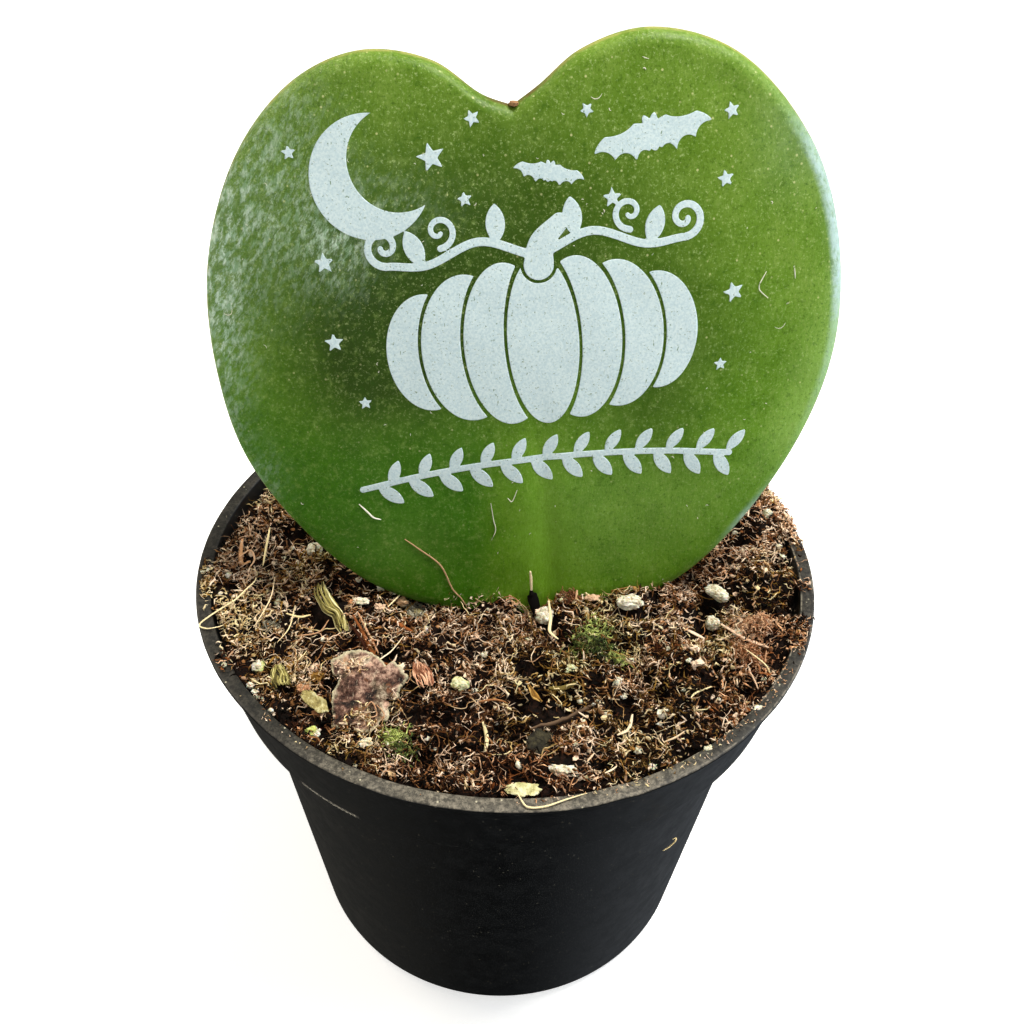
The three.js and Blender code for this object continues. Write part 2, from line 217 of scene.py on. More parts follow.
def closed_faces(rows, columns):
    """Faces of rings in a row, closed by the two points that follow the rings."""
    end = rows * columns
    return [
        grid_faces(rows, columns),
        fan_faces(0, columns, end, flip=True),
        fan_faces(end - columns, columns, end + 1),
    ]


def cap_faces(rows, columns, start, flip=False):
    """Faces of rings that run inwards from start to the point that follows them."""
    last = start + (rows - 1) * columns
    return [grid_faces(rows, columns, flip=flip) + start, fan_faces(last, columns, last + columns, flip)]


def lathe(profile, segments):
    """Points and faces of a profile that starts and ends on the axis, turned about Z."""
    radius, height = np.asarray(profile, float).T[..., None]
    angle = np.arange(segments) * 2 * math.pi / segments
    rings = np.stack(np.broadcast_arrays(radius * np.cos(angle), radius * np.sin(angle), height), -1)
    ends = [[0, 0, height[0, 0]], [0, 0, height[-1, 0]]]
    return np.concatenate([rings[1:-1].reshape(-1, 3), ends]), closed_faces(len(rings) - 2, segments)


def arc(centre, radius, start, end, steps):
    """Points round a quarter or other turn; angles are in degrees."""
    turn = np.radians(np.linspace(start, end, steps))
    return [(centre[0] + radius * math.cos(a), centre[1] + radius * math.sin(a)) for a in turn]


def spaced(points, most):
    """The same line with no step longer than most."""
    points = np.asarray(points, float)
    out = [points[0]]
    for a, b in zip(points[:-1], points[1:]):
        steps = max(1, math.ceil(np.linalg.norm(b - a) / most))
        out += [a + (b - a) * k / steps for k in range(1, steps + 1)]
    return np.array(out)


def smooth_line(through, steps):
    """A Catmull-Rom line through points, with that many steps between neighbours."""
    p = np.asarray(through, float)
    p = np.concatenate([[2 * p[0] - p[1]], p, [2 * p[-1] - p[-2]]])
    t = (np.arange(steps) / steps)[:, None]
    out = []
    for a, b, c, d in zip(p[:-3], p[1:-2], p[2:-1], p[3:]):
        square, cube = 2 * a - 5 * b + 4 * c - d, 3 * b - a - 3 * c + d
        out.append(0.5 * (2 * b + (c - a) * t + square * t**2 + cube * t**3))
    return np.concatenate([*out, p[-2:-1]])


def tube(line, radius, sides=6, taper=0.25, flat=1.0):
    """Points and faces of a thin closed tube along a line, with thinner ends, flattened like a blade."""
    line = np.asarray(line, float)
    count = len(line)
    along = np.gradient(line, axis=0)
    along /= np.linalg.norm(along, axis=1)[:, None] + 1e-9
    helper = np.where(np.abs(along[:, 2:]) > 0.9, [[1.0, 0, 0]], [[0, 0, 1.0]])
    side = np.cross(along, helper)
    side /= np.linalg.norm(side, axis=1)[:, None] + 1e-9
    other = np.cross(along, side)
    t = np.linspace(0, 1, count)
    girth = radius * (taper + (1 - taper) * np.sin(np.pi * np.clip(t, 0.02, 0.98)) ** 0.5)
    turn = np.arange(sides) * 2 * math.pi / sides
    ring = np.cos(turn)[None, :, None] * side[:, None] + flat * np.sin(turn)[None, :, None] * other[:, None]
    points = (line[:, None] + girth[:, None, None] * ring).reshape(-1, 3)
    return np.concatenate([points, line[:1], line[-1:]]), closed_faces(count, sides)


def merged(parts):
    """Several (points, faces) as one; faces with alike corner counts are stacked."""
    points, faces, start = [], {}, 0
    for part_points, part_faces in parts:
        points.append(part_points)
        for f in part_faces:
            faces.setdefault(f.shape[1], []).append(f + start)
        start += len(part_points)
    return np.concatenate(points), [np.concatenate(f) for f in faces.values()]


class Bits:
    """Parts that become one piece, each with a tint and a hue of its own."""

    def __init__(self):
        self.parts, self.tints, self.hues = [], [], []

    def add(self, part, tint, hue=0.0):
        self.parts.append(part)
        self.tints.append(np.full(len(part[0]), tint))
        self.hues.append(np.full(len(part[0]), hue))

    def build(self, name, material, slot):
        points, faces = merged(self.parts)
        values = {"tint": np.concatenate(self.tints), "hue": np.concatenate(self.hues)}
        return build_mesh(name, points, faces, material, slot, values)


def ball(level):
    """A unit ball of triangles, from an icosahedron split level times."""
    golden = (1 + 5**0.5) / 2
    points = [(-1, golden, 0), (1, golden, 0), (-1, -golden, 0), (1, -golden, 0)]
    points += [(0, -1, golden), (0, 1, golden), (0, -1, -golden), (0, 1, -golden)]
    points += [(golden, 0, -1), (golden, 0, 1), (-golden, 0, -1), (-golden, 0, 1)]
    points = [np.array(p, float) / np.linalg.norm(p) for p in points]
    faces = [(0, 11, 5), (0, 5, 1), (0, 1, 7), (0, 7, 10), (0, 10, 11), (1, 5, 9), (5, 11, 4), (11, 10, 2)]
    faces += [(10, 7, 6), (7, 1, 8), (3, 9, 4), (3, 4, 2), (3, 2, 6), (3, 6, 8), (3, 8, 9), (4, 9, 5)]
    faces += [(2, 4, 11), (6, 2, 10), (8, 6, 7), (9, 8, 1)]
    for _ in range(level):
        middles, split = {}, []

        def middle(a, b):
            key = (min(a, b), max(a, b))
            if key not in middles:
                point = points[a] + points[b]
                points.append(point / np.linalg.norm(point))
                middles[key] = len(points) - 1
            return middles[key]

        for a, b, c in faces:
            ab, bc, ca = middle(a, b), middle(b, c), middle(c, a)
            split += [(a, ab, ca), (b, bc, ab), (c, ca, bc), (ab, bc, ca)]
        faces = split
    return np.array(points), np.array(faces)


# ---- Materials -----------------------------------------------------------------------------------


def colour(text):
    """A linear colour from a display colour such as 5a7f1f."""
    parts = [int(text[i : i + 2], 16) / 255 for i in (0, 2, 4)]
    return tuple(p / 12.92 if p <= 0.04045 else ((p + 0.055) / 1.055) ** 2.4 for p in parts) + (1.0,)


class Shader:
    """Builds one material; each method adds a node and gives its output socket."""

    def __init__(self, name, **constants):
        self.material = bpy.data.materials.new(name)
        self.material.use_nodes = True
        self.tree = self.material.node_tree
        self.surface = self.tree.nodes["Principled BSDF"]
        for key, value in constants.items():
            self.surface.inputs[key.replace("_", " ")].default_value = value
        coordinates = self.tree.nodes.new("ShaderNodeTexCoord").outputs["Object"]
        scaled = self.add("VectorMath", operation="SCALE")
        self.feed(scaled.inputs[0], coordinates)
        scaled.inputs["Scale"].default_value = 1 / MM
        self.place = scaled.outputs[0]

    def add(self, kind, **settings):
        node = self.tree.nodes.new("ShaderNode" + kind)
        for key, value in settings.items():
            setattr(node, key, value)
        return node

    def feed(self, socket, value):
        if isinstance(value, bpy.types.NodeSocket):
            self.tree.links.new(value, socket)
        else:
            socket.default_value = value

    def noise(self, size, detail=3.0, rough=0.5, stretch=(1, 1, 1), lean=0.0):
        """Layered noise; a stretch above 1 makes its lumps narrower, and lean turns them about Y."""
        node = self.add("TexNoise")
        self.feed(node.inputs["Vector"], self.stretched(stretch, lean))
        for key, number in (("Scale", 1 / size), ("Detail", detail), ("Roughness", rough)):
            node.inputs[key].default_value = number
        return node.outputs["Fac"]

    def cells(self, size):
        """Distance to the nearest of many scattered points, as a share of the size."""
        node = self.add("TexVoronoi")
        self.feed(node.inputs["Vector"], self.place)
        node.inputs["Scale"].default_value = 1 / size
        return node.outputs["Distance"]

    def stretched(self, stretch, lean=0.0):
        if tuple(stretch) == (1, 1, 1):
            return self.place
        node = self.add("VectorMath", operation="MULTIPLY")
        place = self.place
        if lean:
            turn = self.add("VectorRotate", rotation_type="Y_AXIS")
            self.feed(turn.inputs["Vector"], place)
            turn.inputs["Angle"].default_value = math.radians(lean)
            place = turn.outputs[0]
        self.feed(node.inputs[0], place)
        node.inputs[1].default_value = stretch
        return node.outputs[0]

    def coordinate(self, axis):
        node = self.add("SeparateXYZ")
        self.feed(node.inputs[0], self.place)
        return node.outputs[axis]

    def radius(self):
        """Distance from the pot's axis."""
        flat = self.add("VectorMath", operation="MULTIPLY")
        self.feed(flat.inputs[0], self.place)
        flat.inputs[1].default_value = (1, 1, 0)
        length = self.add("VectorMath", operation="LENGTH")
        self.feed(length.inputs[0], flat.outputs[0])
        return length.outputs["Value"]

    def facing_up(self):
        """The upward part of the surface's own normal."""
        node = self.add("SeparateXYZ")
        self.feed(node.inputs[0], self.add("NewGeometry").outputs["Normal"])
        return node.outputs["Z"]

    def value(self, name):
        """The mesh's own number of that name at each point."""
        return self.add("Attribute", attribute_name=name).outputs["Fac"]

    def ramp(self, factor, *stops):
        """Colours at places along the factor."""
        node = self.add("ValToRGB")
        elements = node.color_ramp.elements
        while len(elements) < len(stops):
            elements.new(1.0)
        for element, (place, shade) in zip(elements, stops):
            element.position = place
            element.color = colour(shade)
        self.feed(node.inputs[0], factor)
        return node.outputs["Color"]

    def between(self, value, low, high, out_low=0.0, out_high=1.0):
        """The value mapped from low..high to out_low..out_high, with soft ends; high may lie below low."""
        node = self.add("MapRange", interpolation_type="SMOOTHSTEP")
        self.feed(node.inputs["Value"], value)
        for key, number in zip(("From Min", "From Max", "To Min", "To Max"), (low, high, out_low, out_high)):
            node.inputs[key].default_value = number
        return node.outputs[0]

    def math(self, operation, a, b=0.0):
        node = self.add("Math", operation=operation)
        self.feed(node.inputs[0], a)
        self.feed(node.inputs[1], b)
        return node.outputs[0]

    def product(self, *values, operation="MULTIPLY"):
        result = values[0]
        for value in values[1:]:
            result = self.math(operation, result, value)
        return result

    def total(self, *values):
        return self.product(*values, operation="ADD")

    def most(self, *values):
        return self.product(*values, operation="MAXIMUM")

    def mix(self, factor, a, b):
        """a where the factor is 0, b where it is 1; both are colours or sockets."""
        node = self.add("Mix", data_type="RGBA")
        self.feed(node.inputs[0], factor)
        for socket, value in ((node.inputs[6], a), (node.inputs[7], b)):
            self.feed(socket, colour(value) if isinstance(value, str) else value)
        return node.outputs[2]

    def bump(self, height, distance, strength=1.0, under=None):
        """A normal from a height from 0 to 1 that stands for a distance in millimetres."""
        node = self.add("Bump")
        node.inputs["Strength"].default_value = strength
        node.inputs["Distance"].default_value = distance * MM
        self.feed(node.inputs["Height"], height)
        if under is not None:
            self.feed(node.inputs["Normal"], under)
        return node.outputs[0]

    def finish(self, **sockets):
        for key, value in sockets.items():
            self.feed(self.surface.inputs[key.replace("_", " ")], value)
        return self.material


LEDGE_DUST = ((-28.0, -21.5), (-19.3, -13.0), (25.3, 28.5))  # the ledge's dusty lengths, across
# pale rings along the lip's outer and inner edges: painted highlights, strongest at the right
EDGE_HIGHLIGHTS = ((RIM_RADIUS - 0.18, 0.12, 0.7), (MOUTH_RADIUS + 0.12, 0.11, 1.0))  # radius, width, strength


def pot_material():
    """Black plastic: dusty on the lip, with painted highlights along its edges, strongest at the right, and
    broken dusty patches on the ledge.
    """
    s = Shader("pot_plastic", IOR=1.5, Specular_IOR_Level=0.27)
    x, y, z = (s.coordinate(axis) for axis in "XYZ")
    grain = s.noise(0.35, 4, 0.6)
    fine = s.noise(0.17, 3, 0.7)
    clumps = s.noise(0.8, 4, 0.65)
    scuffs = s.noise(2.2, 5, 0.7)
    lip = s.product(s.between(s.facing_up(), 0.45, 0.8), s.between(z, POT_HEIGHT - 0.75, POT_HEIGHT - 0.5))
    right = s.between(x, 2.0, 20.0)
    film = s.total(s.between(y, -24.0, -31.0, 0.05, 0.26), s.product(right, 0.02))
    film = s.product(film, lip, s.between(s.noise(0.36, 4, 0.8), 0.4, 0.62, 0.5, 1.8))
    film = s.product(film, s.between(clumps, 0.32, 0.68, 0.6, 1.35))
    # painted highlights: pale lines along the lip's edges, mostly at the right
    edges = []
    for at, wide, much in EDGE_HIGHLIGHTS:
        off = s.math("ABSOLUTE", s.math("SUBTRACT", s.radius(), at))
        edges.append(s.product(s.between(off, wide, wide * 0.3), much))
    edges = s.product(s.most(*edges), lip, s.total(s.product(right, 0.5), 0.08))
    edges = s.product(edges, s.between(clumps, 0.42, 0.58))
    specks = s.between(s.cells(0.8), 0.07, 0.15, 1.0, 0.0)
    specks = s.product(specks, s.most(lip, 0.12), s.between(s.noise(2.6, 3), 0.46, 0.6), 0.75)
    spans = [s.product(s.between(x, a, a + 0.6), s.between(x, b, b - 0.6)) for a, b in LEDGE_DUST]
    ledge = s.product(s.between(z, COLLAR_FOOT_Z - 0.25, COLLAR_FOOT_Z + 0.1), s.total(*spans))
    ledge = s.product(ledge, s.between(z, COLLAR_FOOT_Z + 0.35, COLLAR_FOOT_Z + 0.9, 1.0, 0.0))
    ledge = s.product(ledge, s.between(y, 0.0, -3.0), s.between(fine, 0.4, 0.58), 0.75)
    foot = s.product(s.between(z, 1.6, 0.5), s.between(clumps, 0.35, 0.6), 0.3)
    # real dust on the lip, ledge and foot, and the painted edge highlights, share one pale colour
    dust_and_highlights = s.most(film, edges, ledge, foot)
    base = s.mix(dust_and_highlights, s.mix(s.between(scuffs, 0.3, 0.7), "060708", "0e1011"), "aaa18f")
    base = s.mix(specks, base, "cfc8ac")
    rough = s.total(s.between(scuffs, 0.3, 0.7, 0.36, 0.5), s.product(dust_and_highlights, 0.4))
    normal = s.bump(s.noise(3.5, 3, 0.5), 0.05, 0.5, s.bump(grain, 0.02, 0.5))
    return s.finish(Base_Color=base, Roughness=rough, Normal=normal)


def leaf_material():
    """Waxy green, deep below, with a thin dry margin; painted shade lower left and middle, painted sheen
    streaked at the left, painted light and highlight at the right.
    """
    s = Shader("leaf_green", IOR=1.45, Specular_IOR_Level=0.22, Subsurface_Weight=0.12,
               Subsurface_Scale=0.0015, Subsurface_Radius=(0.5, 1.0, 0.15))
    mottle = s.noise(4.0, 5, 0.66)
    fine = s.noise(0.75, 4, 0.72)
    grain = s.noise(0.27, 3, 0.75)
    up = s.value("up")
    deep = s.ramp(mottle, (0.3, "4b780c"), (0.5, "588615"), (0.7, "669022"))
    light = s.ramp(mottle, (0.3, "5a7d1c"), (0.5, "678927"), (0.7, "769636"))
    green = s.mix(up, deep, light)
    # painted shade: darker, deeper green at the lower left and in the middle
    green = s.mix(s.value("dusk"), green, s.mix(mottle, "285c00", "3a7600"))
    green = s.mix(s.value("dim"), green, s.mix(mottle, "233a02", "36520b"))
    # painted light: lighter green at the lower right edge and right of the base
    green = s.mix(s.value("glow"), green, "96bd5c")
    green = s.mix(s.between(fine, 0.5, 0.75, 0.0, 0.45), green, "8aa452")
    for shade, high, low, much in ((fine, 0.45, 0.28, 0.5), (grain, 0.46, 0.3, 0.6)):
        green = s.mix(s.between(shade, high, low, 0.0, much), green, "2c5204")
    pale = s.total(0.25, s.product(up, 0.4))
    green = s.mix(s.product(s.between(grain, 0.55, 0.7), pale), green, "acc07a")
    specks = s.product(s.between(s.cells(0.95), 0.06, 0.15, 1.0, 0.0), s.between(s.noise(2.4, 2), 0.42, 0.6))
    green = s.mix(s.product(specks, pale), green, "dcdc9c")
    green = s.mix(s.product(s.value("rib"), 0.5), green, "7dac2a")
    green = s.mix(s.value("back"), green, s.mix(mottle, "6f8f42", "84a354"))
    margin = s.between(s.value("inset"), 0.06, 0.3, 1.0, 0.0)
    margin = s.product(margin, s.between(s.noise(1.6, 4, 0.6), 0.36, 0.56, 0.25, 0.9))
    green = s.mix(margin, green, s.mix(s.value("notch"), "a3a45a", "5a4420"))
    wrinkles = s.noise(0.6, 4, 0.66, (1.5, 1, 0.5))
    ripples = s.noise(0.9, 4, 0.72, (1.7, 1, 0.7), -32)
    # painted sheen: pale streaks at the left stand for a reflection on the waxy front
    painted_sheen = s.product(s.value("painted_sheen"), s.between(ripples, 0.43, 0.61, 0.12, 0.9))
    green = s.mix(painted_sheen, green, s.mix(s.between(wrinkles, 0.4, 0.62), "86a680", "c4d8c2"))
    # painted highlight: a pale bluish band along the right edge
    shine = s.product(s.value("shine"), s.between(fine, 0.3, 0.6, 0.4, 0.9))
    green = s.mix(shine, green, "b9d0da")
    rough = s.total(s.between(mottle, 0.3, 0.7, 0.34, 0.44), s.between(s.value("back"), 0, 1, 0, 0.15))
    normal = s.bump(wrinkles, 0.14, 0.6, s.bump(grain, 0.03, 0.6))
    folds = s.product(ripples, s.between(s.coordinate("X"), -9.0, -19.0))
    normal = s.bump(s.noise(4.5, 3, 0.5), 0.35, 0.35, s.bump(folds, 0.42, 1.0, normal))
    return s.finish(Base_Color=green, Roughness=rough, Normal=normal)


def print_material():
    s = Shader("pale_print", Roughness=0.62, IOR=1.4)
    grain = s.noise(0.22, 3, 0.6)
    pale = s.mix(s.between(grain, 0.35, 0.65), "bcd2d6", "d2e2e2")
    worn = s.between(s.noise(0.27, 3, 0.72, (1, 1, 1.3)), 0.61, 0.68)
    scratches = s.between(s.noise(0.5, 2, 0.6, (2.2, 1, 0.5)), 0.7, 0.75)
    base = s.mix(s.product(s.most(worn, scratches), 0.8), pale, "4c6f3a")
    return s.finish(Base_Color=base, Normal=s.bump(grain, 0.02, 0.6))


def soil_material():
    s = Shader("soil_ground", Roughness=0.95, Specular_IOR_Level=0.2)
    shade = s.noise(0.5, 5, 0.7)
    # painted shade: the ground is near black so that the gaps between the loose bits read as deep shade
    base = s.ramp(shade, (0.3, "030100"), (0.5, "100602"), (0.7, "2a150a"))
    return s.finish(Base_Color=base, Normal=s.bump(s.noise(0.25, 4, 0.7), 0.15))


FIBRE_COLOURS = (  # dark to pale: red, pink, straw and olive
    ("040100", "361808", "96572c", "f0ba8a"), ("050200", "40220f", "ac784c", "fee4c8"),
    ("040200", "3c2708", "a8803a", "fbe8b2"), ("020200", "2c2309", "82713c", "e8deaa"),
)


def fibre_material():
    """Peat and coir: dark to pale by each bit's tint, and red, pink, straw or olive by its hue."""
    s = Shader("fibre", Roughness=0.85, Specular_IOR_Level=0.12)
    streaks = s.noise(0.3, 4, 0.7)
    tint = s.total(s.product(s.value("tint"), 0.85), s.product(streaks, 0.2))
    hue = s.value("hue")
    red, *others = (s.ramp(tint, *zip((0.27, 0.48, 0.66, 0.84), row)) for row in FIBRE_COLOURS)
    base = red
    for (low, high), shade in zip(((0.1, 0.35), (0.4, 0.68), (0.72, 0.95)), others):
        base = s.mix(s.between(hue, low, high), base, shade)
    return s.finish(Base_Color=base, Normal=s.bump(s.noise(0.12, 3, 0.6), 0.03, 0.6))


def litter_material(name, dark, mid, light, size=0.5, roughness=0.85):
    """Dry plant matter: three shades by each bit's own tint, streaked by fine noise."""
    s = Shader(name, Roughness=roughness, Specular_IOR_Level=0.25)
    streaks = s.noise(size, 4, 0.7)
    factor = s.total(s.product(s.value("tint"), 0.75), s.product(streaks, 0.25))
    base = s.ramp(factor, (0.12, dark), (0.5, mid), (0.88, light))
    return s.finish(Base_Color=base, Normal=s.bump(s.noise(0.12, 3, 0.6), 0.03, 0.6))


def mineral_material():
    s = Shader("perlite_white", Roughness=0.9, Subsurface_Weight=0.15, Subsurface_Scale=0.0004)
    shade = s.noise(0.45, 5, 0.65)
    base = s.ramp(shade, (0.32, "8e7c56"), (0.46, "d8cfb2"), (0.62, "f8f4e6"))
    base = s.mix(s.value("tint"), base, "b9c455")
    return s.finish(Base_Color=base, Normal=s.bump(s.noise(0.2, 4, 0.7), 0.08))


def bark_material(name, dark, mid, light):
    s = Shader(name, Roughness=0.8, Specular_IOR_Level=0.3)
    shade = s.noise(0.9, 6, 0.72)
    veins = s.noise(0.5, 4, 0.7, (2.5, 0.7, 1))
    base = s.ramp(shade, (0.3, dark), (0.5, mid), (0.7, light))
    base = s.mix(s.between(veins, 0.58, 0.68, 0, 0.6), base, light)
    return s.finish(Base_Color=base, Normal=s.bump(veins, 0.15, 0.8, s.bump(shade, 0.2, 0.8)))


def flake_material():
    """Old bark: purplish, grey and orange patches, and a pale broken rim."""
    s = Shader("bark_grey", Roughness=0.7, Specular_IOR_Level=0.3)
    shade = s.noise(1.3, 5, 0.68)
    streaks = s.noise(0.4, 4, 0.7, (2.2, 0.7, 1))
    purple = s.ramp(shade, (0.38, "130806"), (0.49, "68473a"), (0.62, "d8b29a"))
    grey = s.ramp(shade, (0.38, "14100a"), (0.49, "76644f"), (0.62, "e2d2b6"))
    orange = s.ramp(shade, (0.3, "2c150b"), (0.5, "96603f"), (0.7, "dfb088"))
    base = s.mix(s.between(s.noise(2.1, 3, 0.6), 0.48, 0.64), purple, grey)
    base = s.mix(s.between(s.noise(1.5, 3, 0.6), 0.6, 0.7), base, orange)
    base = s.mix(s.between(streaks, 0.6, 0.7, 0, 0.75), base, "e6d0b4")
    rim = s.between(s.value("ring"), 0.9, 1.0)
    base = s.mix(s.product(rim, s.between(shade, 0.35, 0.5)), base, "d8ceaa")
    return s.finish(Base_Color=base, Normal=s.bump(streaks, 0.3, 0.9, s.bump(shade, 0.5, 0.9)))


# ---- Pot -----------------------------------------------------------------------------------------

POT_SEGMENTS = 384
LIP_WAVE = 0.12  # how far the thin lip wanders up, down and sideways


def pot_profile():
    inner_foot = COLLAR_FOOT - WALL
    body_inner = BODY_TOP - WALL
    slope = (BODY_TOP - FOOT_RADIUS) / (COLLAR_FOOT_Z - FOOT_ROUND)
    floor_radius = FOOT_RADIUS - WALL + slope * (FLOOR_Z - FOOT_ROUND)
    corner = (FOOT_RADIUS - FOOT_ROUND, FOOT_ROUND)
    lip_round = 0.22
    line = [(RING_INNER - RING_SLOPE, RING_RECESS), (RING_INNER, 0.25), (RING_INNER + 0.25, 0)]
    line += arc(corner, FOOT_ROUND, -90, 0, 10)
    line += [(BODY_TOP, COLLAR_FOOT_Z - 0.2), (BODY_TOP + 0.2, COLLAR_FOOT_Z)]
    line += arc((COLLAR_FOOT - 0.3, COLLAR_FOOT_Z + 0.3), 0.3, -90, 0, 5)
    line += [(COLLAR_TOP - 0.05, LIP_FOOT_Z - 0.1), (RIM_RADIUS - 0.45, LIP_FOOT_Z + 0.05)]
    line += arc((RIM_RADIUS - lip_round, POT_HEIGHT - lip_round), lip_round, 0, 90, 6)
    line += arc((MOUTH_RADIUS + 0.2, POT_HEIGHT - 0.2), 0.2, 90, 180, 4)
    line += [(inner_foot, COLLAR_FOOT_Z + WALL), (body_inner, COLLAR_FOOT_Z + WALL)]
    line += [(body_inner - 0.1, COLLAR_FOOT_Z), (floor_radius, FLOOR_Z + FLOOR_ROUND)]
    line += [(floor_radius - FLOOR_ROUND, FLOOR_Z)]
    line = spaced(line, 1.2)
    return np.concatenate([[(0, RING_RECESS)], line, [(0, FLOOR_Z)]])


def make_pot(material):
    points, faces = lathe(pot_profile(), POT_SEGMENTS)
    around = points / (np.linalg.norm(points[:, :2], axis=1)[:, None] + 1e-6)
    near_lip = smoothstep(points[:, 2], COLLAR_FOOT_Z, POT_HEIGHT)
    sway = noise3(around * [2.2, 2.2, 0] + 5, 3) - 0.5
    nicks = noise3(around * [16, 16, 0] + 9, 4) - 0.5
    points[:, :2] *= (1 + (near_lip * LIP_WAVE * (sway + 0.35 * nicks) / RIM_RADIUS))[:, None]
    top = smoothstep(points[:, 2], LIP_FOOT_Z, POT_HEIGHT)
    points[:, 2] -= top * LIP_WAVE * np.abs(noise3(around * [5, 5, 0] + 2, 7) + nicks)
    pot = build_mesh("pot_shell", points, faces, material, "pot_plastic")
    drains = []
    for i in range(DRAIN_COUNT):
        angle = i / DRAIN_COUNT * 2 * math.pi
        line = [(0, FLOOR_Z - 3 * WALL), (DRAIN_RADIUS, FLOOR_Z - 3 * WALL)]
        line += [(DRAIN_RADIUS, FLOOR_Z + WALL), (0, FLOOR_Z + WALL)]
        hole, hole_faces = lathe(line, 32)
        hole[:, :2] += DRAIN_CIRCLE * np.array([math.cos(angle), math.sin(angle)])
        drains.append((hole, hole_faces))
    points, faces = merged(drains)
    cutter = build_mesh("drain_cutter", points, faces, material, "pot_plastic")
    cut = pot.modifiers.new("drains", "BOOLEAN")
    cut.object = cutter
    cut.solver = "EXACT"
    apply_modifiers(pot)
    bpy.data.objects.remove(cutter)
    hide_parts("pot")


def apply_modifiers(piece):
    evaluated = piece.evaluated_get(bpy.context.evaluated_depsgraph_get())
    mesh = bpy.data.meshes.new_from_object(evaluated)
    piece.modifiers.clear()
    piece.data = mesh


# ---- Leaf ----------------------------------------------------------------------------------------

OUTLINE_STEPS = 22  # between neighbouring outline points
MARGIN_RINGS = 14
INNER_RINGS = 44
FINE_MARGIN = 1.6  # the margin's rounding is narrower than on the solid
ROLLS = ((-20.5, -9.0, 0.75), (25.6, 3.9, 0.35))  # where each side rolls back from, over what width, how far


def turned(axis, degrees):
    return np.array(Matrix.Rotation(math.radians(degrees), 3, axis))


LEAF_AXES = turned("Z", LEAF_TURN) @ turned("X", 90 - LEAF_LEAN) @ turned("Z", LEAF_TILT)


def leaf_place(local):
    """Points of the leaf's own frame (across, up, forward) in the part's frame."""
    return np.asarray(local) @ LEAF_AXES.T + LEAF_BASE


def blade_outline():
    """The outline as one loop, counter-clockwise from the base."""
    sides = []
    for side in (BLADE_RIGHT, BLADE_LEFT):
        through = np.array([(0, 0), *side, NOTCH], float)
        sides.append(centripetal(through, OUTLINE_STEPS))
    return np.concatenate([sides[0], sides[1][::-1][1:-1]])


def centripetal(points, steps):
    """The line that the part's source draws through the outline points."""
    p = np.concatenate([[2 * points[0] - points[1]], points, [2 * points[-1] - points[-2]]])
    out = []
    for a, b, c, d in zip(p[:-3], p[1:-2], p[2:-1], p[3:]):
        knots = [np.linalg.norm(y - x) ** 0.5 for x, y in ((a, b), (b, c), (c, d))]
        t0, t1, t2, t3 = np.cumsum([0, *knots])
        for t in np.linspace(t1, t2, steps, endpoint=False):
            ab = ((t1 - t) * a + (t - t0) * b) / (t1 - t0)
            bc = ((t2 - t) * b + (t - t1) * c) / (t2 - t1)
            cd = ((t3 - t) * c + (t - t2) * d) / (t3 - t2)
            abc = ((t2 - t) * ab + (t - t0) * bc) / (t2 - t0)
            bcd = ((t3 - t) * bc + (t - t1) * cd) / (t3 - t1)
            out.append(((t2 - t) * abc + (t - t1) * bcd) / (t2 - t1))
    return np.array(out + [points[-1]])


def crown_at(u, v):
    reach = ((u - BLADE_CENTRE[0]) ** 2 + (v - BLADE_CENTRE[1]) ** 2) / 30**2
    return LEAF_CROWN * np.maximum(0, 1 - reach)


def front_relief(u, v):
    """Slow swells of the leaf's front, and the shallow groove over its midrib near the base."""
    flat = np.stack([u, v, np.zeros_like(u)], -1)
    swells = 0.35 * (noise3(flat / 9, 31) - 0.5) + 0.1 * (noise3(flat / 3.1, 32) - 0.5)
    groove = -0.28 * np.exp(-((u / 1.3) ** 2)) * (1 - smoothstep(v, 14, 30))
    rolled = sum(-drop * np.clip((u - start) / width, 0, 1.2) ** 2 for start, width, drop in ROLLS)
    return swells + groove + rolled


def back_relief(u, v):
    """The midrib and faint side veins that stand out of the leaf's back."""
    rib = 0.55 * np.exp(-((u / 1.5) ** 2)) * (1 - smoothstep(v, 10, 46))
    slant = v - 0.75 * np.abs(u)
    veins = 0.1 * np.exp(-(((slant + 4) % 9.5 - 4.75) ** 2) / 0.5) * (1 - smoothstep(np.abs(u), 14, 24))
    return rib + veins * smoothstep(np.abs(u), 0.5, 3)


def front_height(u, v):
    """How far the front stands forward, away from the rounded margin."""
    return crown_at(u, v) + LEAF_THICKNESS / 2 + front_relief(u, v)


# Spots of painted light and shade on the leaf's front: painted sheen, painted highlight (shine), painted
# shade (dim) and painted light (glow).
LEAF_SPOTS = (  # kind, middle across and up, reach across and up, sharpness and strength
    ("painted_sheen", (-23.4, 89.5), (4.6, 7.0), 1.0, 0.8), ("painted_sheen", (-26.0, 80.0), (2.0, 7.0), 1.0, 0.8),
    ("painted_sheen", (-15.8, 87.0), (3.0, 3.4), 1.0, 0.95), ("painted_sheen", (-24.0, 65.0), (2.0, 3.0), 1.0, 0.35),
    ("painted_sheen", (-19.5, 96.0), (4.0, 4.0), 1.0, 0.3), ("painted_sheen", (-13.0, 90.0), (6.0, 3.0), 1.0, 0.25),
    ("painted_sheen", (-28.4, 80.0), (1.7, 8.0), 1.0, 0.9), ("painted_sheen", (-27.0, 70.0), (1.6, 5.0), 1.0, 0.35),
    ("painted_sheen", (-27.2, 86.5), (2.2, 6.0), 1.0, 0.9), ("shine", (24.5, 96.0), (3.5, 5.0), 1.0, 0.08),
    ("dim", (-3.5, 84.0), (19.5, 13.0), 1.5, 0.95), ("dim", (14.5, 74.0), (6.0, 9.0), 1.0, 0.5),
    ("dim", (-13.5, 75.0), (7.0, 7.0), 1.0, 0.6), ("glow", (-10.0, 58.0), (5.0, 3.5), 1.0, 0.12),
)


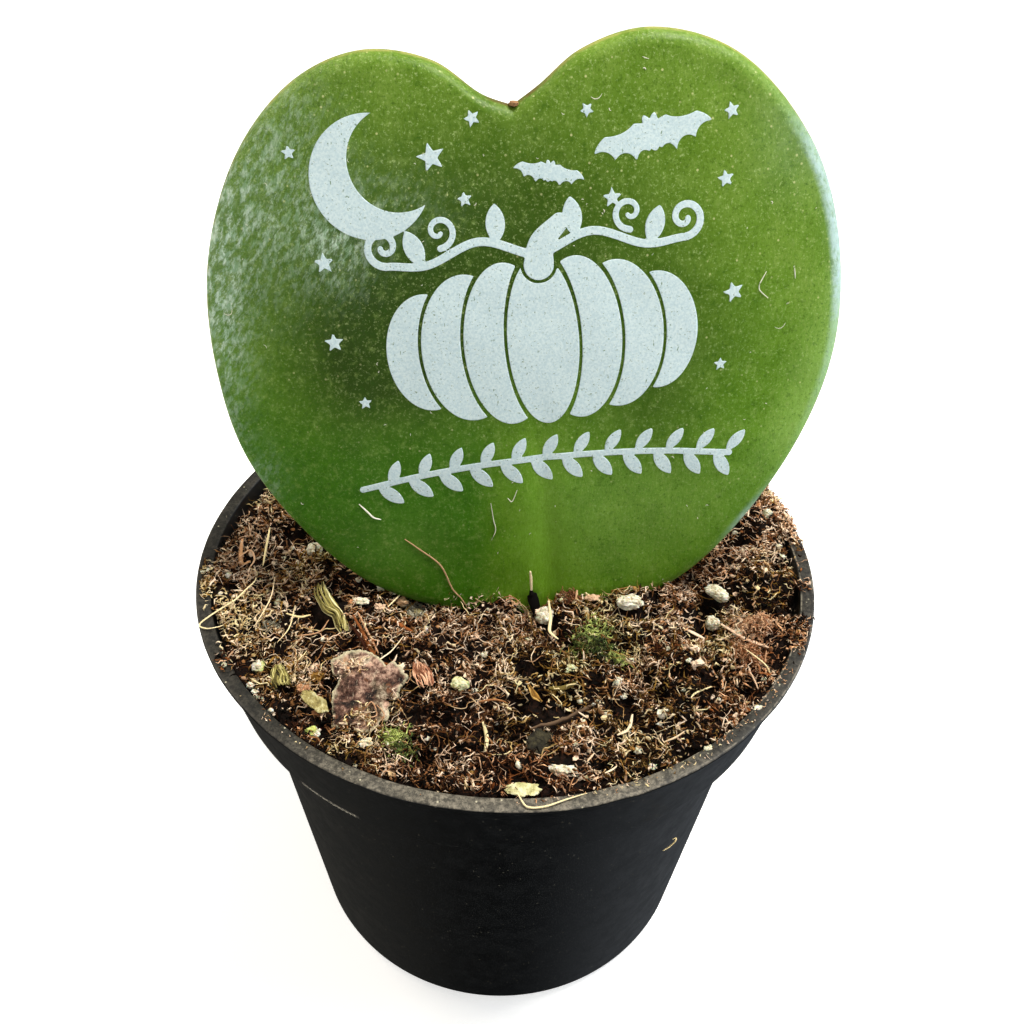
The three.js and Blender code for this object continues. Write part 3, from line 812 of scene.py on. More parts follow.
def leaf_light(points, inset):
    """The leaf's painted light and shade: dusk and dim are painted shade, deep and dark green; glow is
    painted light, light green; the sheen is a painted reflection in pale streaks at the left; and shine is
    the painted highlight along the pale right edge."""
    x, _, z = points.T
    # painted highlight along the right edge, in the colour
    right = smoothstep(x, 10, 18)
    shine = (0.25 * smoothstep(z, 66, 77) + 0.5 * smoothstep(z, 77, 83)) * (1 - smoothstep(z, 92, 98))
    shine = shine * right * (1 - smoothstep(inset, 0.85, 1.7))
    shine += 0.5 * right * (1 - smoothstep(inset, 0.6, 1.5)) * np.exp(-(((z - 60.0) / 2.2) ** 2))
    # painted light: lighter green along the lower right edge and at the lower middle
    glow = (1 - smoothstep(inset, 1.5, 6.0)) * smoothstep(x, 8, 18) * smoothstep(z, 62, 70)
    glow *= 0.45 * (1 - 0.8 * smoothstep(z, 74, 86))
    glow += 0.22 * smoothstep(x, -1.0, 4.0) * spot(x, z, (9.0, 60.0), (12, 6.5), 1.5)
    # painted shade: darker, deeper green at the lower left
    dusk = 0.8 * (1 - smoothstep(x, -4.0, -0.5)) * (1 - smoothstep(z, 64, 78))
    tones = {"dim": 0 * x, "glow": glow, "dusk": dusk, "painted_sheen": 0 * x, "shine": shine}
    for key, middle, reach, power, much in LEAF_SPOTS:
        tones[key] += much * spot(x, z, middle, reach, power)
    tones["painted_sheen"] = np.clip(tones["painted_sheen"], 0, 1.3)
    tones["shine"] = np.clip(tones["shine"], 0, 1)
    return tones


def make_leaf(material):
    outline = blade_outline()
    count = len(outline)
    toward = np.array(BLADE_CENTRE) - outline
    distance = np.linalg.norm(toward, axis=1)
    toward /= distance[:, None]
    margin = FINE_MARGIN * (1 - np.cos(np.linspace(0, math.pi / 2, MARGIN_RINGS + 1)))[1:]
    inner = np.linspace(0, 1, INNER_RINGS + 1)[1:-1, None]
    inner = FINE_MARGIN + (distance - FINE_MARGIN) * inner
    insets = np.concatenate([np.repeat(margin[:, None], count, 1), inner])
    rows = len(insets)
    flat = np.concatenate([(outline + toward * insets[..., None]).reshape(-1, 2), [BLADE_CENTRE]])
    inset = np.append(insets, distance.min())
    inwards = np.clip(inset / FINE_MARGIN, 0, 1)
    half = LEAF_THICKNESS / 2 * np.sqrt(1 - (1 - inwards) ** 2)
    u, v = flat.T
    front = np.column_stack([u, v, crown_at(u, v) + half + front_relief(u, v) * inwards])
    rear = np.column_stack([u, v, crown_at(u, v) - half - back_relief(u, v) * inwards])
    local = np.concatenate([np.column_stack([outline, crown_at(*outline.T)]), front, rear])
    inset = np.concatenate([np.zeros(count), inset, inset])
    back = np.concatenate([np.full(count, 0.5), np.zeros(len(front)), np.ones(len(rear))])
    back = np.where(inset < 1.0, 0.0, back)
    u, v = local[:, 0], local[:, 1]
    # the painted light and shade are kept off the leaf's back
    tones = {key: numbers * (1 - back) for key, numbers in leaf_light(leaf_place(local), inset).items()}
    values = {
        "inset": inset,
        "back": back,
        "up": smoothstep(v + 0.22 * u, 8, 58),
        "rib": np.exp(-(((u + 0.6) / 3.2) ** 2)) * (1 - smoothstep(v, 6, 30)),
        "notch": spot(u, v, (NOTCH[0], NOTCH[1] + 1), 4.5),
        **tones,
    }
    faces = []
    j = np.arange(count)
    k = (j + 1) % count
    for start, flip in ((count, False), (count + len(front), True)):
        first = np.stack([j, k, start + k, start + j], -1)
        faces += [first[:, ::-1] if flip else first, *cap_faces(rows, count, start, flip)]
    stalk_line = [(0, STALK_SUNK - 1 - t, crown_at(0, 0)) for t in np.linspace(0, STALK_LENGTH, 8)]
    stalk = tube(stalk_line, STALK_RADIUS * 0.95, 24, 0.8)
    for key in values:
        # the stalk takes the full painted shade
        fill = {"inset": 5.0, "rib": 0.3, "dusk": 1.0}.get(key, 0.0)
        values[key] = np.append(values[key], np.full(len(stalk[0]), fill))
    points, faces = merged([(local, faces), stalk])
    leaf = build_mesh("leaf_blade", leaf_place(points), faces, material, "leaf", values)
    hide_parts("leaf")


# ---- The generic print on the leaf ---------------------------------------------------------------
# Each shape gives, for every point of a grid, how far inside the shape the point lies.

PRINT_STEP = 0.14
PRINT_PROUD = 0.05
PRINT_EDGE = 0.3  # width of the clear line round a shape that lies over another


def ellipse(x, y, at, size, degrees=0.0):
    a = math.radians(degrees)
    u = (x - at[0]) * math.cos(a) + (y - at[1]) * math.sin(a)
    v = (y - at[1]) * math.cos(a) - (x - at[0]) * math.sin(a)
    return (1 - np.hypot(u / size[0], v / size[1])) * min(size)


def stroke(x, y, line, start, end):
    """A brush line whose half-width goes from start to end."""
    line = np.asarray(line, float)
    widths = np.linspace(start, end, len(line))
    best = np.full(x.shape, -1e3)
    for a, b, wa, wb in zip(line[:-1], line[1:], widths[:-1], widths[1:]):
        d = b - a
        t = np.clip(((x - a[0]) * d[0] + (y - a[1]) * d[1]) / (d @ d), 0, 1)
        best = np.maximum(best, wa + (wb - wa) * t - np.hypot(x - a[0] - t * d[0], y - a[1] - t * d[1]))
    return best


def leaflet(x, y, at, length, degrees, fat=0.32):
    """A pointed oval: where two discs meet."""
    a = math.radians(degrees)
    half, deep = length / 2, length * fat / 2
    radius = (half**2 + deep**2) / (2 * deep)
    middle = np.array(at) + half * np.array([math.cos(a), math.sin(a)])
    side = (radius - deep) * np.array([-math.sin(a), math.cos(a)])
    one, two = middle + side, middle - side
    return radius - np.maximum(np.hypot(x - one[0], y - one[1]), np.hypot(x - two[0], y - two[1]))


def star(x, y, at, size, degrees=0.0):
    turn = np.radians(degrees + 90 + 36 * np.arange(11))
    reach = size * np.where(np.arange(11) % 2, 0.42, 1.0)
    return outline_shape(x, y, np.column_stack([at[0] + reach * np.cos(turn), at[1] + reach * np.sin(turn)]))


def outline_shape(x, y, loop):
    inside = np.zeros(x.shape, bool)
    for (x0, y0), (x1, y1) in zip(loop[:-1], loop[1:]):
        if y0 != y1:
            crosses = (y0 > y) != (y1 > y)
            inside ^= crosses & (x < (x1 - x0) * (y - y0) / (y1 - y0) + x0)
    away = -stroke(x, y, loop, 0, 0)
    return np.where(inside, away, -away)


def spiral(at, start, reach, turns, grows):
    t = np.linspace(0, 1, 28)
    angle = math.radians(start) + grows * turns * 2 * math.pi * t
    radius = reach * (1 - 0.82 * t)
    return np.column_stack([at[0] + radius * np.cos(angle), at[1] + radius * np.sin(angle)])


def bat(x, y, at, span, degrees):
    """A plain bat: two scalloped wings, a small body and ears."""
    a = math.radians(degrees)
    u = ((x - at[0]) * math.cos(a) + (y - at[1]) * math.sin(a)) / span
    v = ((y - at[1]) * math.cos(a) - (x - at[0]) * math.sin(a)) / span
    m = np.abs(u)
    wing = ellipse(m, v, (0.24, -0.02), (0.27, 0.15), -8)
    wing = np.minimum(wing, -ellipse(m, v, (0.46, -0.14), (0.12, 0.13)))
    wing = np.minimum(wing, -ellipse(m, v, (0.27, -0.19), (0.1, 0.12)))
    wing = np.minimum(wing, -ellipse(m, v, (0.1, -0.2), (0.075, 0.11)))
    wing = np.minimum(wing, -ellipse(m, v, (0.3, 0.2), (0.2, 0.12)))
    body = ellipse(m, v, (0, 0.0), (0.055, 0.12))
    ears = leaflet(m, v, (0.012, 0.06), 0.12, 72, 0.5)
    return np.maximum(np.maximum(wing, body), ears) * span


def print_design():
    """The grid and the design on it: a plain ribbed pumpkin on a vine, a moon, stars and bats."""
    x, y = np.meshgrid(np.arange(-21, 21, PRINT_STEP), np.arange(16, 54, PRINT_STEP), indexing="ij")
    ink = np.full(x.shape, -1.0)

    def lay(shape, clear=0.0):
        nonlocal ink
        if clear:
            ink = np.minimum(ink, -(shape + clear))
        ink = np.maximum(ink, shape)

    middle, low = 1.0, 31.6
    for t in np.linspace(-16, 17, 12):
        base = (t, 20.2 - 0.0052 * t * t)
        lay(leaflet(x, y, base, 3.1, -52 - 0.6 * t, 0.42))
        lay(leaflet(x, y, (t + 1.2, base[1]), 2.7, 56 - 0.6 * t, 0.42))
    lay(stroke(x, y, [(t, 20.2 - 0.0052 * t * t) for t in np.linspace(-17.5, 18.5, 30)], 0.3, 0.3))
    for side in (-1, 1):
        for reach, size in ((10.6, (3.8, 5.5)), (6.9, (4.3, 6.9)), (3.3, (4.0, 7.6))):
            lay(ellipse(x, y, (middle + side * reach, low), size), PRINT_EDGE)
    lay(ellipse(x, y, (middle, low), (3.3, 7.9)), PRINT_EDGE)
    stem = smooth_line([(middle + 0.1, low + 7.1), (middle + 0.5, low + 9.0), (middle + 2.2, low + 10.6)], 8)
    lay(stroke(x, y, stem, 1.35, 0.8), PRINT_EDGE)
    for side, turn in ((-1, 8), (1, -6)):
        bends = ((0.9, 8.2), (5.1, 9.6), (9.7, 8.0), (13.1, 8.2))
        vine = smooth_line([(middle + across * side, low + rise) for across, rise in bends], 8)
        curl = spiral((vine[-1][0] + 0.3 * side, vine[-1][1] + 1.7), -90, 1.7, 1.2, side)
        tendril = spiral((vine[11][0] + 1.6 * side, vine[11][1] + 1.7), -90, 1.5, 1.1, -side)
        lay(stroke(x, y, vine, 0.38, 0.34))
        lay(stroke(x, y, curl, 0.34, 0.24))
        lay(stroke(x, y, tendril, 0.28, 0.2))
        for at, size, angle in ((5, 3.4, 100), (17, 3.4, 78)):
            lean = angle if side > 0 else 180 - angle
            lay(leaflet(x, y, vine[at], size, lean + turn, 0.5))
    moon = ellipse(x, y, (-12.8, 47.4), (5.2, 5.2))
    lay(np.minimum(moon, -ellipse(x, y, (-10.3, 48.6), (4.3, 4.3))))
    for at, span, angle in (((11.8, 48.6), 10.5, 10), ((2.6, 46.4), 6.2, -14)):
        lay(bat(x, y, at, span, angle))
    for at, size, angle in (
        ((-7.4, 48.6), 1.3, 10), ((-17.8, 40.6), 1.0, 0), ((-3.6, 51.4), 0.8, 20), ((-4.9, 44.9), 0.75, 5),
        ((8.0, 43.8), 0.95, 0), ((18.8, 50.0), 0.8, 12), ((6.2, 51.2), 0.7, 30), ((-19.4, 50.0), 0.7, 0),
        ((-18.0, 33.4), 0.95, 0), ((18.8, 34.4), 1.05, 15), ((-16.0, 27.4), 0.7, 0), ((17.6, 27.6), 0.7, 0),
        ((18.2, 44.4), 0.85, 8),
    ):
        lay(star(x, y, at, size, angle))
    return x, y, ink


def filled(x, y, field):
    """Marching squares: the part of a grid where field is above 0, as points and faces."""
    keys, points, faces = {}, [], {3: [], 4: [], 5: [], 6: []}

    def point(key, u, v):
        if key not in keys:
            keys[key] = len(points)
            points.append((u, v))
        return keys[key]

    above = field > 0
    cells = above[:-1, :-1] | above[1:, :-1] | above[:-1, 1:] | above[1:, 1:]
    for i, j in np.argwhere(cells):
        corners = ((i, j), (i + 1, j), (i + 1, j + 1), (i, j + 1))
        face = []
        for a, b in zip(corners, corners[1:] + corners[:1]):
            fa, fb = field[a], field[b]
            if fa > 0:
                face.append(point(a, x[a], y[a]))
            if (fa > 0) != (fb > 0):
                t = fa / (fa - fb)
                key = (min(a, b), max(a, b))
                face.append(point(key, x[a] + (x[b] - x[a]) * t, y[a] + (y[b] - y[a]) * t))
        if len(face) >= 3:
            faces[len(face)].append(face)
    return np.array(points), [np.array(f) for f in faces.values() if f]


def boundary(faces):
    """The directed edges that only one face has."""
    edges = np.concatenate([np.stack([f, np.roll(f, -1, 1)], -1).reshape(-1, 2) for f in faces])
    have = {tuple(e) for e in edges.tolist()}
    return np.array([e for e in edges.tolist() if (e[1], e[0]) not in have])


def make_print(material):
    flat, faces = filled(*print_design())
    u, v = flat.T
    top = np.column_stack([u, v, front_height(u, v) + PRINT_PROUD])
    low = top - [0, 0, 2 * PRINT_PROUD]
    edge = boundary(faces)
    skirt = np.stack([edge[:, 1], edge[:, 0], edge[:, 0] + len(top), edge[:, 1] + len(top)], -1)
    points = np.concatenate([top, low])
    backs = [f[:, ::-1] + len(top) for f in faces]
    build_mesh("leaf_print", leaf_place(points), [*faces, *backs, skirt], material, "leaf")


# ---- Small things on the leaf --------------------------------------------------------------------

LEAF_STRANDS = (  # (points across and up the leaf, radius)
    (((-14.2, 12.8), (-13.0, 11.6), (-11.0, 9.4), (-10.1, 6.5), (-9.3, 5.2), (-8.8, 4.0)), 0.085),
    (((-5.3, 15.9), (-5.2, 14.1), (-5.1, 12.8), (-5.6, 11.7)), 0.05),
    (((21.9, 35.9), (21.2, 34.5), (22.1, 33.4)), 0.055),
    (((24.6, 35.9), (24.7, 34.9)), 0.05),
    (((-3.6, 16.3), (-3.2, 15.9), (-2.6, 17.1)), 0.05),
)
LEAF_SCRATCH = ((-18.1, 17.1), (-17.5, 16.3), (-16.9, 15.5), (-16.2, 15.2))
LINT_COUNT = 75


def on_leaf(line, lift, steps=6):
    """A smooth line over the leaf's front through points across and up it."""
    line = smooth_line(line, steps)
    return leaf_place(np.column_stack([line, front_height(*line.T) + lift]))


def make_leaf_dust(pale, brown):
    rng = np.random.default_rng(41)
    fibres = [tube(on_leaf(line, radius), radius, 5) for line, radius in LEAF_STRANDS[1:]]
    outline = blade_outline()
    while len(fibres) < LINT_COUNT:
        at = rng.uniform((-29, 3), (29, 57))
        if np.linalg.norm(outline - at, axis=1).min() < 1.5 or not inside_loop(at, outline):
            continue
        turn, bend = rng.uniform(0, 2 * math.pi), rng.uniform(-1.6, 1.6)
        length = rng.choice([0.18, 0.28, 0.5, 1.0], p=[0.45, 0.35, 0.14, 0.06]) * rng.uniform(0.7, 1.3)
        steps = np.linspace(-0.5, 0.5, 4)
        curve = np.column_stack([np.cos(turn + bend * steps), np.sin(turn + bend * steps)])
        line = at + length * curve * steps[:, None]
        radius = rng.uniform(0.025, 0.04)
        fibres.append(tube(on_leaf(line, radius * 0.6, 2), radius, 4))
    line, radius = LEAF_STRANDS[0]
    strand = tube(on_leaf(line, radius), radius, 6)
    mark = tube(on_leaf(LEAF_SCRATCH, 0.02), 0.09, 6)
    pieces = (("leaf_lint", merged(fibres), pale, 0.75), ("leaf_strand", strand, brown, 0.8),
              ("leaf_mark", mark, pale, 1.0))
    for name, (points, faces), material, tint in pieces:
        build_mesh(name, points, faces, material, "litter", {"tint": np.full(len(points), tint)})


def inside_loop(at, loop):
    x, y = np.array([[at[0]]]), np.array([[at[1]]])
    return outline_shape(x, y, np.concatenate([loop, loop[:1]]))[0, 0] > 0


def make_notch_scab(material):
    """The small dry scar in the leaf's notch."""
    points, faces = ball(4)
    points = points * (1 + 0.5 * rough3(points * 2 + 4, 1.0, 3, 5))[:, None]
    points = points * [0.42, 0.22, 0.6] + [NOTCH[0] + 0.1, NOTCH[1] + 0.16, crown_at(*NOTCH) + 0.6]
    tint = np.full(len(points), 0.5)
    build_mesh("notch_scar", leaf_place(points), [faces], material, "litter", {"tint": tint})


# ---- Soil ----------------------------------------------------------------------------------------

SOIL_RINGS, SOIL_SEGMENTS = 120, 540
SOIL_EDGE = 30.75
BED_DROP = 0.55  # the dark ground lies this far below the solid's surface, and loose bits fill it up
HOLE_DEPTH = 1.3
WALL_ZONE = 27.3, 29.8  # between these radii the ground changes over to its height at the wall

HEAPS = (  # middle, spread across and deep, and height: rises and hollows smaller than the solid's
    (-4.0, -7.3, 5.0, 0.8, -1.9), (5.4, -7.2, 2.6, 0.9, 0.9), (14.6, -8.0, 1.3, 1.2, -1.3),
    (21.8, -7.0, 1.2, 1.0, -1.0), (-23.2, 4.6, 2.6, 2.6, -1.1), (24.6, 2.8, 1.8, 1.5, -1.2),
    (25.0, -9.3, 2.2, 1.7, 0.8), (-7.6, -13.0, 2.2, 1.5, 0.5), (1.0, -11.0, 3.0, 1.6, 0.4),
    (13.0, -5.5, 5.0, 1.5, 1.2), (26.5, 8.0, 3.0, 4.0, 1.2),
)
# Bits in the holes are also painted darker: painted shade.
HOLES = (  # deep dark gaps between clumps: middle and reach
    (18.0, -24.2, 1.2), (16.7, -25.4, 1.0), (-24.9, -15.6, 1.0), (-28.4, -5.6, 0.9), (23.3, -17.8, 0.8),
    (20.4, -6.9, 1.1), (19.3, -8.8, 0.7), (21.0, -13.6, 0.6), (-19.3, -11.6, 0.9), (-22.3, -12.9, 0.8),
    (-19.8, -22.3, 1.0), (-16.2, -24.2, 0.8), (-13.9, -8.9, 0.7), (-13.8, -6.5, 0.6), (-11.3, -14.1, 0.7),
    (-16.3, -5.0, 0.7), (-18.1, -14.4, 0.8), (-8.8, -10.8, 0.6), (1.3, -23.4, 0.9), (1.2, -18.7, 0.9),
    (4.3, -25.5, 0.6), (10.3, -20.5, 0.8), (8.9, -26.6, 0.8), (-24.6, 5.2, 1.7), (-22.6, 1.9, 1.2),
    (-19.3, -1.6, 0.9), (-16.9, -17.6, 0.7), (-16.5, -22.6, 0.7), (-6.2, -14.6, 0.5), (-3.6, -20.6, 0.6),
    (3.2, -14.4, 0.6), (14.2, -15.2, 0.6), (16.6, -19.4, 0.6), (19.4, -15.9, 0.6),
    (-21.0, -18.0, 0.8), (-25.8, -11.0, 0.5),
)
WALL_FILL = (  # turn in degrees, and how high the soil stands against the pot's wall there
    (0, -0.6), (5, 0.5), (12, 1.6), (22, 1.9), (32, 1.3), (45, 0.2), (60, -0.3), (120, -0.4), (150, -0.6),
    (172, -0.5), (181, 0.2), (187, 1.1), (197, 0.9), (205, 0.1), (212, -0.6), (225, -0.1), (240, 0.3),
    (255, 0.5), (285, 0.5), (298, 0.4), (304, -0.9), (309, 0.1), (318, -0.3), (327, 0.3), (332, -1.1),
    (336.5, 0.8), (342, 0.9), (346, -1.0), (350, -1.0), (353, 0.7), (357, 0.3),
)
# Their lighter and darker amounts are partly painted light and shade and partly the soil's own patches; the
# hues are the soil's own.
TONES = (  # middle, reach, lighter or darker, and hue: 0 red, 0.33 pink, 0.67 straw, 1 olive
    (-23.0, -10.0, 6.5, 0.15, 0.68), (-3.0, -11.5, 6.0, 0.04, 0.35), (-4.0, -20.0, 6.0, -0.04, 0.25),
    (6.0, -15.5, 5.0, -0.14, 0.75), (12.5, -21.0, 5.0, -0.05, 0.5), (25.2, -9.2, 2.4, 0.24, 0.12),
    (24.6, -12.7, 2.0, 0.05, 0.0), (27.0, 4.0, 6.0, 0.15, 0.36), (17.0, -5.0, 4.0, -0.02, 0.2),
    (-28.0, -4.0, 3.0, 0.12, 0.2), (-20.0, -19.0, 4.0, 0.0, 0.45), (-8.0, -27.5, 5.0, -0.12, 0.15),
    (4.0, -28.0, 5.0, -0.08, 0.15), (-25.5, 3.0, 5.0, 0.12, 0.3), (-18.0, -23.0, 3.0, -0.1, 0.3),
)


def soil_height(x, y):
    """The soil solid's surface."""
    height = POT_HEIGHT - SOIL_DROP + MOUND_HEIGHT * spot(x, y, MOUND_AT, MOUND_SPREAD)
    for seed, (size, tall) in enumerate(LUMPS):
        height = height + tall * (noise2(x / size, y / size, seed + 1) - 0.5)
    return height - WALL_DIP * smoothstep(np.hypot(x, y), WALL_DIP_FROM, WALL_DIP_TO)


def on_plane(x, y):
    return np.stack([x, y, np.zeros_like(x)], -1)


def pits(x, y):
    """1 in the dark holes between clumps, 0 elsewhere."""
    return smoothstep(noise3(on_plane(x, y) / 1.7, 58), 0.58, 0.8)


def wall_fill(x, y):
    turn = np.degrees(np.arctan2(y, x))
    angles, heights = np.array(WALL_FILL).T
    return np.interp(turn, angles, heights, period=360)


def ground_height(x, y):
    """The dark ground that the loose bits lie on: the solid's surface with clumps, pits and holes."""
    flat = on_plane(x, y)
    height = soil_height(x, y) - BED_DROP + 1.7 * rough3(flat, 3.0, 4, 51) - 0.9 * pits(x, y)
    for *middle, across, deep, tall in HEAPS:
        height = height + tall * spot(x, y, middle, (across, deep))
    at_wall = POT_HEIGHT - SOIL_DROP + wall_fill(x, y) + 0.6 * rough3(flat, 1.3, 3, 53)
    height = height + (at_wall - height) * smoothstep(np.hypot(x, y), *WALL_ZONE)
    for *middle, reach in HOLES:
        height = height - HOLE_DEPTH * spot(x, y, middle, reach)
    return height


def make_ground(material):
    inner = COLLAR_FOOT - WALL
    low = [(0, FLOOR_Z + 0.3), (FOOT_RADIUS - 2, FLOOR_Z + 0.3), (BODY_TOP - WALL - 0.5, COLLAR_FOOT_Z)]
    low += [(BODY_TOP - WALL - 0.5, COLLAR_FOOT_Z + WALL + 0.3), (inner - 0.4, COLLAR_FOOT_Z + WALL + 0.3)]
    low = spaced(low, 4)
    rings = [(SOIL_EDGE * k / SOIL_RINGS, POT_HEIGHT) for k in range(SOIL_RINGS, -1, -1)]
    points, faces = lathe(np.concatenate([low, rings]), SOIL_SEGMENTS)
    top = points[:, 2] >= POT_HEIGHT - 0.01
    points[top, 2] = ground_height(points[top, 0], points[top, 1])
    ground = build_mesh("soil_ground", points, faces, material, "soil")
    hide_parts("soil")


def wall_radius(z):
    """The pot's inner wall at a height."""
    return np.interp(z, [COLLAR_FOOT_Z, POT_HEIGHT - 0.3], [COLLAR_FOOT - WALL, MOUTH_RADIUS - 0.1])


def things_on_soil():
    """Middle and half-size, seen from above, of each grain and scrap."""
    names = [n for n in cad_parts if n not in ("pot", "soil", "leaf")]
    boxes = [[np.array(corner)[:2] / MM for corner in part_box(name)] for name in sorted(names)]
    return [((low + high) / 2, (high - low) / 2) for low, high in boxes]


def scatter(rng, count, within=30.7, cover=0.9):
    """Random places over the soil: fewer in the holes, in gaps by the wall and on grains and scraps."""
    reach = within * np.sqrt(rng.random(3 * count))
    angle = 2 * math.pi * rng.random(3 * count)
    x, y = reach * np.cos(angle), reach * np.sin(angle)
    chance = 1 - 0.8 * pits(x, y)
    chance *= 1 - smoothstep(reach, 28.6, 30.0) * smoothstep(wall_fill(x, y), -0.3, -0.9) * 0.8
    for *middle, wide in HOLES:
        chance *= 1 - 0.9 * spot(x, y, middle, wide, 2)
    for middle, half in THINGS:
        inside = np.hypot((x - middle[0]) / half[0], (y - middle[1]) / half[1])
        chance *= np.where(inside < cover, 0.04, 1)
    kept = rng.random(3 * count) < chance
    return np.column_stack([x, y])[kept][:count]


def patch(x, y, size):
    """Places gathered round a point, for moss and for tufts."""
    return lambda rng, count: np.array([x, y]) + rng.normal(0, size, (count, 2))


def on_lip(*spots):
    """Places on the pot's lip, from turns in degrees, their spreads and their shares."""

    def places(rng, count):
        parts = []
        for turn, spread, share in spots:
            angle = np.radians(rng.normal(turn, spread, int(count * share)))
            reach = rng.uniform(MOUTH_RADIUS - 0.5, RIM_RADIUS - 0.5, len(angle))
            parts.append(np.column_stack([reach * np.cos(angle), reach * np.sin(angle)]))
        return np.concatenate(parts)

    return places


def shades(rng, places, lift):
    """Each bit's tint, from 0 dark to 1 pale, and its hue. Bits that lie deep, and bits in the holes, are
    darker: painted shade.
    """
    flat = on_plane(*places.T)
    count = len(places)
    hue = 0.45 + 0.8 * (noise3(flat / 5.5, 71) - 0.5) + rng.normal(0, 0.18, count)
    # painted shade: the lower a bit lies, the darker it is
    tint = 0.4 + 0.42 * (noise3(flat / 3.4, 72) - 0.5) + rng.normal(0, 0.26, count) + 0.32 * lift
    tint += np.where(rng.random(count) < 0.18, rng.uniform(0.25, 0.55, count), 0)
    # lighter and darker patches: partly painted light and shade, partly the soil's own tone
    for *middle, reach, lighter, tone in TONES:
        near = spot(*places.T, middle, reach)
        tint += lighter * near
        hue += (tone - hue) * near * 0.7
    # painted shade: bits in the holes are darker
    for *middle, reach in HOLES:
        tint -= 0.3 * spot(*places.T, middle, reach)
    return np.clip(tint, 0, 1), np.clip(hue, 0, 1)


def frames(yaw, pitch, roll):
    """Rotation matrices, one for each bit: roll about its length, then pitch, then yaw."""
    cy, sy, cp, sp, cr, sr = (f(a) for a in (yaw, pitch, roll) for f in (np.cos, np.sin))
    rows = [
        [cy * cp, cy * sp * sr - sy * cr, cy * sp * cr + sy * sr],
        [sy * cp, sy * sp * sr + cy * cr, sy * sp * cr - cy * sr],
        [-sp, cp * sr, cp * cr],
    ]
    return np.moveaxis(np.array(rows), -1, 0)


def shred_shapes(rng, count, length, width, curl, flat):
    """Curved three-sided slivers with pointed ends: an array of SHRED_POINTS points for each."""
    t = np.array([-1, -0.5, 0, 0.5, 1.0])
    curls = rng.uniform(0.05, curl, count) * rng.choice([-1, 1], count)
    half = length[:, None] / 2
    along = half * np.sin(curls[:, None] * t) / curls[:, None]
    bow = half * (1 - np.cos(curls[:, None] * t)) / curls[:, None]
    kink = rng.normal(0, 0.13, (2, count, 5)) * length[:, None]
    spine = np.stack([along, bow * 0.6 + kink[0], bow * 0.6 + 0.6 * kink[1]], -1)
    twist = rng.uniform(-1.5, 1.5, count)[:, None] * t[1:4]
    taper = rng.uniform(0.6, 1.1, (count, 3))
    corner = np.radians([0, 140, 220])
    wide = width[:, None, None] * taper[..., None] / 2
    angle = corner[None, None] + twist[..., None]
    side = np.cos(angle) * wide
    tall = np.sin(angle) * wide * flat
    ring = spine[:, 1:4, None, :] + np.stack([np.zeros_like(side), side, tall], -1)
    return np.concatenate([spine[:, :1], ring.reshape(count, 9, 3), spine[:, 4:]], 1)


SHRED_POINTS = 11
SHRED_SIDES = ((0, 1), (1, 2), (2, 0))
SHRED_QUADS = np.array(
    [[1 + 3 * r + a, 1 + 3 * r + b, 4 + 3 * r + b, 4 + 3 * r + a] for r in (0, 1) for a, b in SHRED_SIDES]
)
SHRED_TIPS = np.array([[0, 2, 1], [0, 3, 2], [0, 1, 3], [7, 8, 10], [8, 9, 10], [9, 7, 10]])


def settle(points, places, lift, level=None):
    """Moves each bit to its place on the ground, or at a level, and in from the pot's wall."""
    points[..., :2] += places[:, None]
    points[..., 2] += ((ground_height(*places.T) if level is None else level) + lift)[:, None]
    if level is not None:
        return points
    reach = np.hypot(points[..., 0], points[..., 1])
    over = (reach - wall_radius(points[..., 2]) + 0.1).max(1)
    over = np.where(points[..., 2].min(1) > POT_HEIGHT + 0.05, 0, np.maximum(over, 0))
    outwards = places / (np.linalg.norm(places, axis=1)[:, None] + 1e-9)
    points[..., :2] -= (outwards * over[:, None])[:, None]
    return points


def make_shreds(name, count, seed, material, length=(0.5, 1.8), width=(0.1, 0.32), curl=1.0, flat=0.45,
                lift=(-0.1, 0.6), steep=0.4, places=scatter, tint=None, level=None):
    rng = np.random.default_rng(seed)
    at = places(rng, count)
    count = len(at)
    lengths = rng.uniform(*length, count) * rng.choice([0.8, 1, 1, 1.4], count)
    shapes = shred_shapes(rng, count, lengths, rng.uniform(*width, count), curl, flat)
    pitch = rng.normal(0, steep, count)
    turn = frames(rng.uniform(0, 2 * math.pi, count), pitch, rng.normal(0, 0.9, count))
    points = np.einsum("nij,nkj->nki", turn, shapes)
    rise = rng.uniform(*lift, count)
    points = settle(points, at, rise + np.abs(np.sin(pitch)) * lengths / 3, level)
    start = (np.arange(count) * SHRED_POINTS)[:, None, None]
    tints, hues = shades(rng, at, rise)
    if tint is not None:
        tints = np.clip(rng.normal(tint, 0.2, count), 0, 1)
    values = {"tint": np.repeat(tints, SHRED_POINTS), "hue": np.repeat(hues, SHRED_POINTS)}
    faces = [(start + SHRED_QUADS).reshape(-1, 4), (start + SHRED_TIPS).reshape(-1, 3)]
    build_mesh(name, points.reshape(-1, 3), faces, material, "soil", values)


